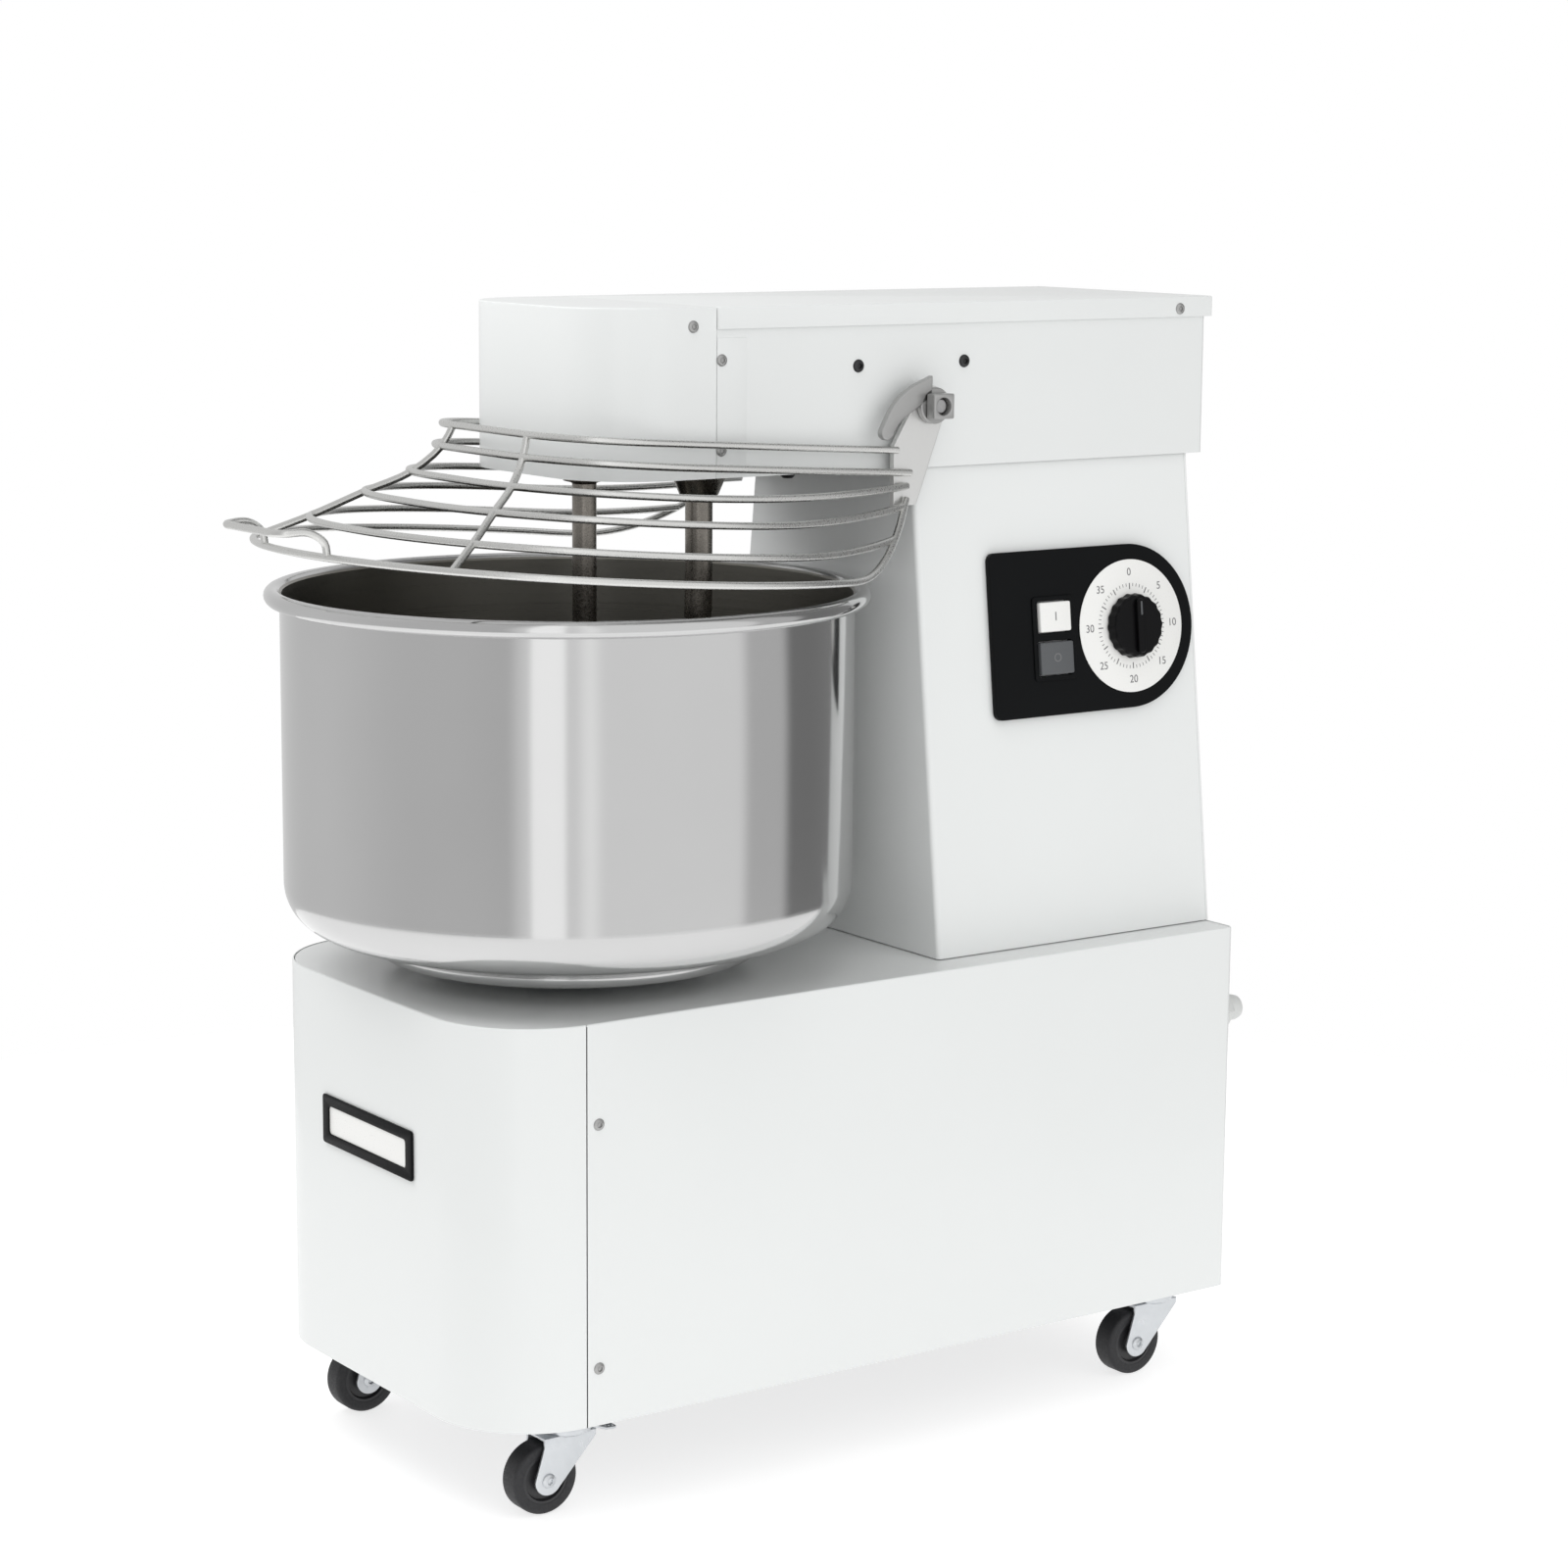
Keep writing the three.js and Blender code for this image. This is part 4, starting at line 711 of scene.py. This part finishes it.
def make_guard():
    parts = []
    for spec in GUARD_RODS:
        right = half_rod(*spec)
        parts.append(rod(smooth_path([*mirrored(right)[::-1], *right[1:]], 8), WIRE_RADIUS))
    rib = [tuple(rod_point(spec, RIB_ANGLE)) for spec in GUARD_RODS]
    for points in (rib, mirrored(rib)):
        parts.append(rod(smooth_path(points, 8), WIRE_RADIUS))
    arm = [(PIVOT_Y - 32, 670), (PIVOT_Y - 12, 670), *arc(PIVOT_Y, PIVOT_Z, 13.8, -12, 168, 16),
           (PIVOT_Y - 32, 712)]
    plate = sheet([arm, circle(6.3, PIVOT_Y, PIVOT_Z)], 5, 0.7)
    arms = [moved(plate, Matrix.Translation((x - 2.5, 0, 0)) @ ONTO_X) for x in (ARM_X, -ARM_X)]
    piece("guard_rods", parts, WIRE, "guard_group", stands_for=["guard_grid"])
    piece("guard_arms", arms, ARM_STEEL, "guard_group", smooth=12)

    low, high = cad("guard_handle")
    front, top_z = low.y + 3.3, high.z - 3
    spec = GUARD_RODS[5]
    foot_x = HANDLE_HALF + 4
    foot_y = spec[1] + spec[0] - math.sqrt(spec[0] ** 2 - foot_x ** 2)
    foot_z = tilted(spec[3], foot_y) + 1
    side = [(foot_x, foot_y, foot_z), (foot_x, foot_y - 2, foot_z + 9), (foot_x - 1, foot_y - 13, top_z),
            (HANDLE_HALF, front + 5, top_z), (HANDLE_HALF - 8, front, top_z),
            (HANDLE_HALF - 20, front, top_z)]
    piece("guard_handle_rod", [rod(smooth_path([*side, *mirrored(side)[::-1]], 3), WIRE_RADIUS)], WIRE,
          "guard_group", stands_for=["guard_handle"])

    axle = rod([(axle_low.x, PIVOT_Y, PIVOT_Z), (axle_high.x, PIVOT_Y, PIVOT_Z)], 5.9, 28)
    piece("guard_axle_rod", [axle], STEEL, "guard_group", stands_for=["guard_axle"])

    outer = [(PIVOT_Y - 3, PIVOT_Z + 21), (PIVOT_Y - 22, PIVOT_Z + 13), (PIVOT_Y - 36, PIVOT_Z + 2),
             (PIVOT_Y - 46, PIVOT_Z - 14)]
    inner = [(PIVOT_Y - 38, PIVOT_Z - 21), (PIVOT_Y - 31, PIVOT_Z - 11), (PIVOT_Y - 19, PIVOT_Z - 3),
             (PIVOT_Y - 3, PIVOT_Z + 6)]

    def flat_curve(points):
        return [(p.x, p.y) for p in smooth_path([(y, z, 0) for y, z in points], 2)]

    tip = arc(PIVOT_Y - 42, PIVOT_Z - 17.5, 5.2, 145, 320, 8)
    cam = sheet([[*flat_curve(outer), *tip, *flat_curve(inner)]], 6, 1.2)
    low, high = cad("guard_cam")
    boss = along_x(lathe([(6.2, 0), (12, 0), (12.8, 0.8), (12.8, 4.9), (12, 5.7), (6.2, 5.7), (6.2, 0)],
                         40),
                   low.x, PIVOT_Y, PIVOT_Z)
    lever = moved(cam, Matrix.Translation((high.x - 6, 0, 0)) @ ONTO_X)
    piece("guard_cam_lever", [lever, boss], LEVER_STEEL, "guard_group",
          stands_for=["guard_cam"])

    for name in ("axle_nut_right", "axle_nut_left"):
        low, high = cad(name)
        nut = sheet([box_outline(8.8, 8.8, 1.2), circle(6.2)], high.x - low.x, 0.8)
        place = Matrix.Translation((low.x, PIVOT_Y, PIVOT_Z)) @ ONTO_X
        piece(name + "_block", [moved(nut, place)], LEVER_STEEL, "guard_group",
              stands_for=[name])


# --- control panel --------------------------------------------------------------------------------

def panel_matrix():
    """The panel's frame: x along the machine's Y, y up the slope, z out of the column's side."""
    lean = math.atan2(COLUMN_HALF_BOTTOM - COLUMN_HALF_TOP, COLUMN_TOP - COLUMN_BOTTOM)
    low, high = cad("control_panel")
    middle_z = (low.z + high.z) / 2 - math.sin(lean) * 2.8
    half = COLUMN_HALF_BOTTOM - (middle_z - COLUMN_BOTTOM) * math.tan(lean)
    return Matrix((
        (0, -math.sin(lean), math.cos(lean), half),
        (1, 0, 0, 0),
        (0, math.cos(lean), math.sin(lean), middle_z),
        (0, 0, 0, 1),
    ))


PANEL = panel_matrix()


def on_panel(part, x=0, y=0, z=0):
    return moved(part, PANEL @ Matrix.Translation((x, y, z)))


def panel_text(name, body, x, y, z, size, owner, material):
    """Raised numbers or signs that lie on the panel."""
    curve = bpy.data.curves.new(name, "FONT")
    curve.body = body
    curve.size = size * MM
    curve.align_x = "CENTER"
    curve.align_y = "CENTER"
    curve.extrude = 0.00008
    curve.materials.append(material)
    obj = bpy.data.objects.new(name, curve)
    bpy.context.scene.collection.objects.link(obj)
    turn = PANEL.to_3x3().to_4x4()
    obj.matrix_world = Matrix.Translation(at(*(PANEL @ Vector((x, y, z))))) @ turn
    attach(obj, owner)
    return obj


def make_panel():
    low, high = cad("control_panel")
    left, right = low.y, high.y
    half_high = 60.3
    dial_x = right - half_high
    outline = [*arc(dial_x, 0, half_high, -90, 90, 40),
               *arc(left + 6, half_high - 6, 6, 90, 180, 6),
               *arc(left + 6, 6 - half_high, 6, 180, 270, 6)]
    buttons = {"start_button": (14.5, 11, 11.5), "stop_button": (15.5, 12, -18.5)}
    button_x = left + 56
    wells = [box_outline(w + 0.7, h + 0.7, 1.6, button_x, up) for w, h, up in buttons.values()]
    plate = on_panel(sheet([outline, *wells], 5.2, 1.0, 3), z=GAP)
    bezel_outer = box_outline(19.5, 30.5, 3, button_x, -4)
    bezel = on_panel(sheet([bezel_outer, *wells], 1.4, 0.5), z=5.3)
    piece("panel_plate", [plate, bezel], BLACK, smooth=12,
          stands_for=["control_panel"])

    face = 5.5 + GAP
    dial = lathe([(4.6, 0), (48.2, 0), (48.9, 0.5), (48.9, 0.9), (48.4, 1.2), (4.6, 1.2), (4.6, 0)], 96)
    piece("dial_disc", [on_panel(dial, dial_x, 0, face - 0.2)], IVORY,
          stands_for=["dial_scale"])
    ticks = []
    for i in range(60):
        long_tick = i % 5 == 0
        length = 4.5 if long_tick else 2.4
        tick = sheet([box_outline(length / 2, 0.42 if long_tick else 0.24, 0.1)], 0.12, 0.02, 1)
        turn = Matrix.Rotation(math.tau * i / 60, 4,
                               "Z") @ Matrix.Translation((30 - length / 2 + 1.5, 0, 0))
        ticks.append(moved(tick, PANEL @ Matrix.Translation((dial_x, 0, face + 0.98)) @ turn))
    piece("dial_ticks", ticks, INK)
    for i in range(8):
        a = math.radians(90 - i * 45)
        panel_text(f"dial_number_{i}", str(i * 5), dial_x + 39.5 * math.cos(a), 39.5 * math.sin(a),
                   face + 1.02, 8,
                   "body", INK)

    def grip(r, a):
        return r * (1 + 0.018 * math.cos(18 * a)) if r > 21 else r

    knob = lathe([
        (0, 0), (23, 0), (23.6, 0.8), (22.8, 7), *arc(20.4, 6.9, 2.1, 10, 80, 5), (17, 8.6), (0, 8.6),
    ], 144, grip)
    knob_z = face + 1.7
    bar = sheet([box_outline(3.4, 20, 3)], 4.6, 1.6, 3)
    pointer = sheet([box_outline(0.8, 5, 0.4, 0, 13)], 0.3, 0.05, 1)
    piece("timer_knob_cap", [on_panel(knob, dial_x, 0, knob_z), on_panel(bar, dial_x, 0, knob_z + 7.4)],
          KNOB_BLACK,
          "knob_group", stands_for=["timer_knob"])
    piece("timer_pointer", [on_panel(pointer, dial_x, 0, knob_z + 11.9)], GREY, "knob_group")

    finishes = {"start_button": (IVORY, "white_plastic", "I"), "stop_button": (GREY, "grey_plastic", "O")}
    signs = {"start_button": INK, "stop_button": INK}
    for name, (w, h, up) in buttons.items():
        material, slot, sign = finishes[name]
        group = name.replace("_button", "_group")
        cap = sheet([box_outline(w - 0.2, h - 0.2, 1.4)], 5.6, 1.2, 3)
        piece(name + "_cap", [on_panel(cap, button_x, up, 3.4)], material, group,
              stands_for=[name])
        panel_text(name + "_sign", sign, button_x, up, 9.03, 9, group, signs[name])


# --- fasteners ------------------------------------------------------------------------------------

def socket_screw(radius, height):
    """A button head screw with a hexagon socket, standing on z 0."""
    socket = radius * 0.42

    def hexagon(r, a):
        return r / math.cos(a % (math.pi / 3) - math.pi / 6) * 0.94 if 0 < r <= socket + 1e-6 else r

    dome = [(radius * math.cos(math.radians(t)), height * math.sin(math.radians(t))) for t in (0, 20, 40,
                                                                                               58)]
    return lathe([(0, -0.25), (radius, -0.25), *dome, (socket + 0.35, height), (socket, height - 0.25),
                  (socket * 0.96, height * 0.35), (0, height * 0.35)], 36, hexagon)


def make_screws():
    side = [(-122, 798), (-99, 775), (-99, 714), (309, 802)]
    dark_side = [(16, 768), (109, 769)]
    seam = [(-239, 277), (-239, 108)]
    bright, dark = [], []
    for flip in (False, True):
        sign = -1 if flip else 1
        for y, z in side:
            x = lid_high.x if y > HEAD_SEAM and z > lid_low.z else HEAD_HALF
            bright.append(along_x(socket_screw(4.2, 1.8), sign * (x + (0.4 if y == -99 else 0)), y, z,
                                  flip))
        for y, z in dark_side:
            dark.append(along_x(socket_screw(4.6, 2.4), sign * HEAD_HALF, y, z, flip))
        for y, z in seam:
            bright.append(along_x(socket_screw(4.2, 1.8), sign * BASE_HALF, y, z, flip))
    for x, z in ((-118, 368), (118, 368), (-88, 680), (88, 680)):
        bright.append(along_y(socket_screw(4, 1.8), x, COLUMN_REAR, z, flip=True))
    for x in (-140, 140):
        for z in (100, 320):
            bright.append(along_y(socket_screw(4, 1.8), x, BASE_REAR, z, flip=True))
    piece("panel_screws", bright, LEVER_STEEL)
    piece("head_bolts", dark, DARK_BOLT)


# --- castors --------------------------------------------------------------------------------------

def make_castor(corner):
    plate_low, plate_high = cad("castor_plate_" + corner)
    wheel_low, wheel_high = cad("castor_wheel_" + corner)
    x, y = (plate_low.x + plate_high.x) / 2, (plate_low.y + plate_high.y) / 2
    wheel_y, wheel_z = (wheel_low.y + wheel_high.y) / 2, (wheel_low.z + wheel_high.z) / 2
    braked = corner.startswith("front")
    top = plate_high.z

    bolts = [(sx * 22, sy * 22) for sx in (-1, 1) for sy in (-1, 1)]
    outlines = [box_outline(29, 29, 5), *[circle(3.4, bx, by, 16) for bx, by in bolts]]
    plate = placed(sheet(outlines, 2.5, 0.5), x, y, top - 2.5)
    race = placed(lathe([(0, top - 6.4), (13, top - 6.4), (15, top - 5.4), (15, top - 3), (17, top - 2.4),
                         (0, top - 2.4)], 40), x, y)
    piece("castor_top_" + corner, [plate, race], ZINC, stands_for=["castor_plate_" + corner])
    heads = [placed(moved(socket_screw(4.6, 2.2), Matrix.Rotation(math.pi, 4, "X")), x + bx, y + by,
                    top - 2.6)
             for bx, by in bolts]
    piece("castor_bolts_" + corner, heads, ZINC)

    crown = 52.5
    cheek_x = 10.2
    reach = y - wheel_y
    outline = [
        *arc(0, wheel_z, 10.4, 180, 322, 14), (reach + 15.5, crown - 3.5), (reach + 17, crown - 1.5),
        (reach + 17, crown + 2.4), (-3, crown + 2.4), (-3, crown - 4),
    ]
    cheek = sheet([outline, circle(4.1, 0, wheel_z, 20)], 2.3, 0.6)
    fork = [moved(cheek, Matrix.Translation((x + dx, wheel_y, 0)) @ ONTO_X) for dx in (cheek_x,
                                                                                       -cheek_x - 2.3)]
    bridge = sheet([box_outline(cheek_x + 0.6, (reach + 20) / 2, 1.5)], 2.4, 0.6)
    fork.append(placed(bridge, x, wheel_y - 3 + (reach + 20) / 2, crown))
    cup = lathe([(0, crown + 1), (15, crown + 1), (17.6, crown + 2.6), (18, crown + 4), (18, 59.4),
                 (17.2, 60.6), (0, 60.6)], 40)
    fork.append(placed(cup, x, y))
    piece("castor_fork_body_" + corner, fork, ZINC, "swivel_" + corner,
          stands_for=["castor_fork_" + corner])
    bolt = [along_x(socket_screw(5.2, 2.2), x + cheek_x + 2.3, wheel_y, wheel_z),
            along_x(socket_screw(5.2, 2.2), x - cheek_x - 2.3, wheel_y, wheel_z, flip=True),
            rod([(x - 12, wheel_y, wheel_z), (x + 12, wheel_y, wheel_z)], 4, 20)]
    piece("castor_axle_" + corner, bolt, ZINC, "swivel_" + corner)

    half = 9
    tyre = lathe([
        (17.6, -half + 0.6), (22, -half), *arc(22, 3 - half, 3, -90, 0, 5), (25, 0),
        *arc(22, half - 3, 3, 0, 90, 5), (17.6, half - 0.6), (17.6, -half + 0.6),
    ], 72)
    hub = lathe([
        (4.3, -half), (7.4, -half), (8.2, 0.8 - half), (8.6, 3 - half), (14.6, 3.4 - half),
        (15.6, 1 - half),
        (17.5, 0.8 - half), (17.5, half - 0.8), (15.6, half - 1), (14.6, half - 3.4), (8.6, half - 3),
        (8.2, half - 0.8), (7.4, half), (4.3, half), (4.3, -half),
    ], 60)
    piece("tyre_" + corner, [along_x(tyre, x, wheel_y, wheel_z)], RUBBER, "wheel_" + corner,
          stands_for=["castor_wheel_" + corner])
    piece("hub_" + corner, [along_x(hub, x, wheel_y, wheel_z)], HUB, "wheel_" + corner)

    if braked:
        low, high = cad("brake_pedal_" + corner)
        start, end = low.y - y, high.y - y
        profile = [(start, 53.2), (start + 11, 54), (end - 10, 50.6), (end - 1, 49.2)]
        sections = []
        for i, (py, pz) in enumerate(profile):
            width = (6, 6.8, 6.9, 4.6)[i]
            outline = box_outline(width, 1.2, 1.0, 0, 0, 3)
            sections.append([(x + a, y + py, pz + b) for a, b in outline])
        tread = [placed(sheet([box_outline(5, 0.8, 0.7)], 0.8, 0.3), x, y + end - 4 - 3 * i,
                        50.9 + 0.3 * i) for i in range(3)]
        piece("pedal_lever_" + corner, [loft(sections), *tread], ZINC, "pedal_" + corner,
              stands_for=["brake_pedal_" + corner])


# --- what stays as CAD, with a finish of its own --------------------------------------------------

def finish_inner_nodes():
    finishes = {
        DARK_STEEL: ["chassis_tray", "head_frame"],
        CASTING: ["bowl_bearing", "lower_bearing", "upper_bearing", "gearbox_case", "gearbox_cover",
                  "spiral_bearing"],
        STEEL: ["bowl_sprocket", "bowl_chain", "main_shaft", "lower_sprocket", "upper_sprocket",
                "spiral_chain",
                "worm_shaft", "spiral_sprocket"],
        BRONZE: ["worm_wheel"],
        ENAMEL: ["motor"],
        GREY: ["safety_switch"],
    }
    for material, names in finishes.items():
        for name in names:
            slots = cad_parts[name].material_slots
            for slot in slots:
                slot.material = material


# ------------------------------------------------------------------------------------------------
# Camera, light and floor
# ------------------------------------------------------------------------------------------------

SKY_BASE = 0.62
SKY_BANDS = (  # heading from +X in degrees, half width of the full band, half width to its edge, gain
    (-40, 6, 7.5, 0.40),
    (-37, 8, 20, 0.32),
    (-110, 25, 60, 0.04),
    (8, 30, 38, 0.34),
    (88, 19, 27, -0.39),
    (172, 40, 95, 0.10),
)
FLOOR_GLOW = 0.72
FLOOR_RADIUS = 1.25

CAMERA_AZIMUTH = 54.77
CAMERA_PITCH = 9.82
CAMERA_ROLL = 0.42
CAMERA_PLACE = (2175.6, -1510.5, 918.7)
CAMERA_LENS = 84.72


def make_camera():
    data = bpy.data.cameras.new("camera")
    data.lens = CAMERA_LENS
    data.sensor_width = 36
    data.clip_start, data.clip_end = 0.05, 60
    camera = bpy.data.objects.new("camera", data)
    bpy.context.scene.collection.objects.link(camera)
    camera.location = at(*CAMERA_PLACE)
    turn = (Matrix.Rotation(math.radians(CAMERA_AZIMUTH), 3, "Z")
            @ Matrix.Rotation(math.radians(90 - CAMERA_PITCH), 3, "X")
            @ Matrix.Rotation(math.radians(CAMERA_ROLL), 3, "Z"))
    camera.rotation_euler = turn.to_euler()
    bpy.context.scene.camera = camera


def soft_light(name, place, target, size, power):
    data = bpy.data.lights.new(name, "AREA")
    data.shape = "RECTANGLE"
    data.size, data.size_y = size
    data.energy = power
    light = bpy.data.objects.new(name, data)
    bpy.context.scene.collection.objects.link(light)
    light.location = place
    light.visible_glossy = False
    light.rotation_euler = (Vector(target) - Vector(place)).to_track_quat("-Z", "Y").to_euler()


def sky_band(nodes, links, heading, inner, outer):
    """1 in a band of compass directions round a heading, falling to 0 between two angles in degrees."""
    direction = nodes.new("ShaderNodeTexCoord").outputs["Generated"]
    flat = nodes.new("ShaderNodeVectorMath")
    flat.operation = "MULTIPLY"
    flat.inputs[1].default_value = (1, 1, 0)
    unit = nodes.new("ShaderNodeVectorMath")
    unit.operation = "NORMALIZE"
    dot = nodes.new("ShaderNodeVectorMath")
    dot.operation = "DOT_PRODUCT"
    dot.inputs[1].default_value = (math.cos(math.radians(heading)), math.sin(math.radians(heading)), 0)
    fade = nodes.new("ShaderNodeMapRange")
    fade.interpolation_type = "SMOOTHSTEP"
    fade.inputs["From Min"].default_value = math.cos(math.radians(outer))
    fade.inputs["From Max"].default_value = math.cos(math.radians(inner))
    links.new(direction, flat.inputs[0])
    links.new(flat.outputs[0], unit.inputs[0])
    links.new(unit.outputs[0], dot.inputs[0])
    links.new(dot.outputs["Value"], fade.inputs["Value"])
    return fade.outputs["Result"]


def make_world():
    """A white studio: an even wrap, brighter soft boxes and a darker gap behind the machine."""
    world = bpy.data.worlds.new("studio")
    bpy.context.scene.world = world
    world.use_nodes = True
    nodes, links = world.node_tree.nodes, world.node_tree.links
    total = None
    for heading, inner, outer, gain in SKY_BANDS:
        scaled = nodes.new("ShaderNodeMath")
        scaled.operation = "MULTIPLY_ADD"
        scaled.inputs[1].default_value = gain
        scaled.inputs[2].default_value = SKY_BASE
        links.new(sky_band(nodes, links, heading, inner, outer), scaled.inputs[0])
        if total:
            links.new(total, scaled.inputs[2])
        total = scaled.outputs[0]
    path = nodes.new("ShaderNodeLightPath")
    seen = nodes.new("ShaderNodeMix")
    seen.inputs["B"].default_value = 1.0
    links.new(path.outputs["Is Camera Ray"], seen.inputs["Factor"])
    links.new(total, seen.inputs["A"])
    background = nodes["Background"]
    background.inputs["Color"].default_value = (1, 1, 1, 1)
    links.new(seen.outputs["Result"], background.inputs["Strength"])


def make_studio():
    floor_material = finish("studio_floor", (0.5, 0.5, 0.5), rough=(0.7, 0.8), scale=60, bump=0.01,
                            vary=0.01)
    glow = floor_material.node_tree.nodes["Principled BSDF"]
    glow.inputs["Emission Color"].default_value = (1, 1, 1, 1)
    glow.inputs["Emission Strength"].default_value = FLOOR_GLOW
    bm = bmesh.new()
    bmesh.ops.create_circle(bm, cap_ends=True, segments=96, radius=FLOOR_RADIUS)
    mesh = bpy.data.meshes.new("studio_floor")
    bm.to_mesh(mesh)
    bm.free()
    mesh.materials.append(floor_material)
    floor = bpy.data.objects.new("studio_floor", mesh)
    floor.location.z = -0.0005
    bpy.context.scene.collection.objects.link(floor)
    make_world()
    bpy.context.scene.view_settings.view_transform = "Standard"
    soft_light("overhead", (0.2, -0.6, 3.2), (0, 0, 0.4), (2.6, 2.6), 17)
    soft_light("nose_front", (-0.4, -0.8, 1.3), (0, -0.2, 0.78), (0.6, 0.6), 4)
    soft_light("right_side", (2.4, 0.5, 1.3), (0.15, 0, 0.45), (2, 2), 6)


make_camera()
make_studio()
make_base()
make_column()
make_head()
make_nameplate()
make_gland()
make_bowl()
make_carrier()
make_tools()
make_guard()
make_panel()
make_screws()
for corner_name in ("front_left", "front_right", "rear_left", "rear_right"):
    make_castor(corner_name)
finish_inner_nodes()
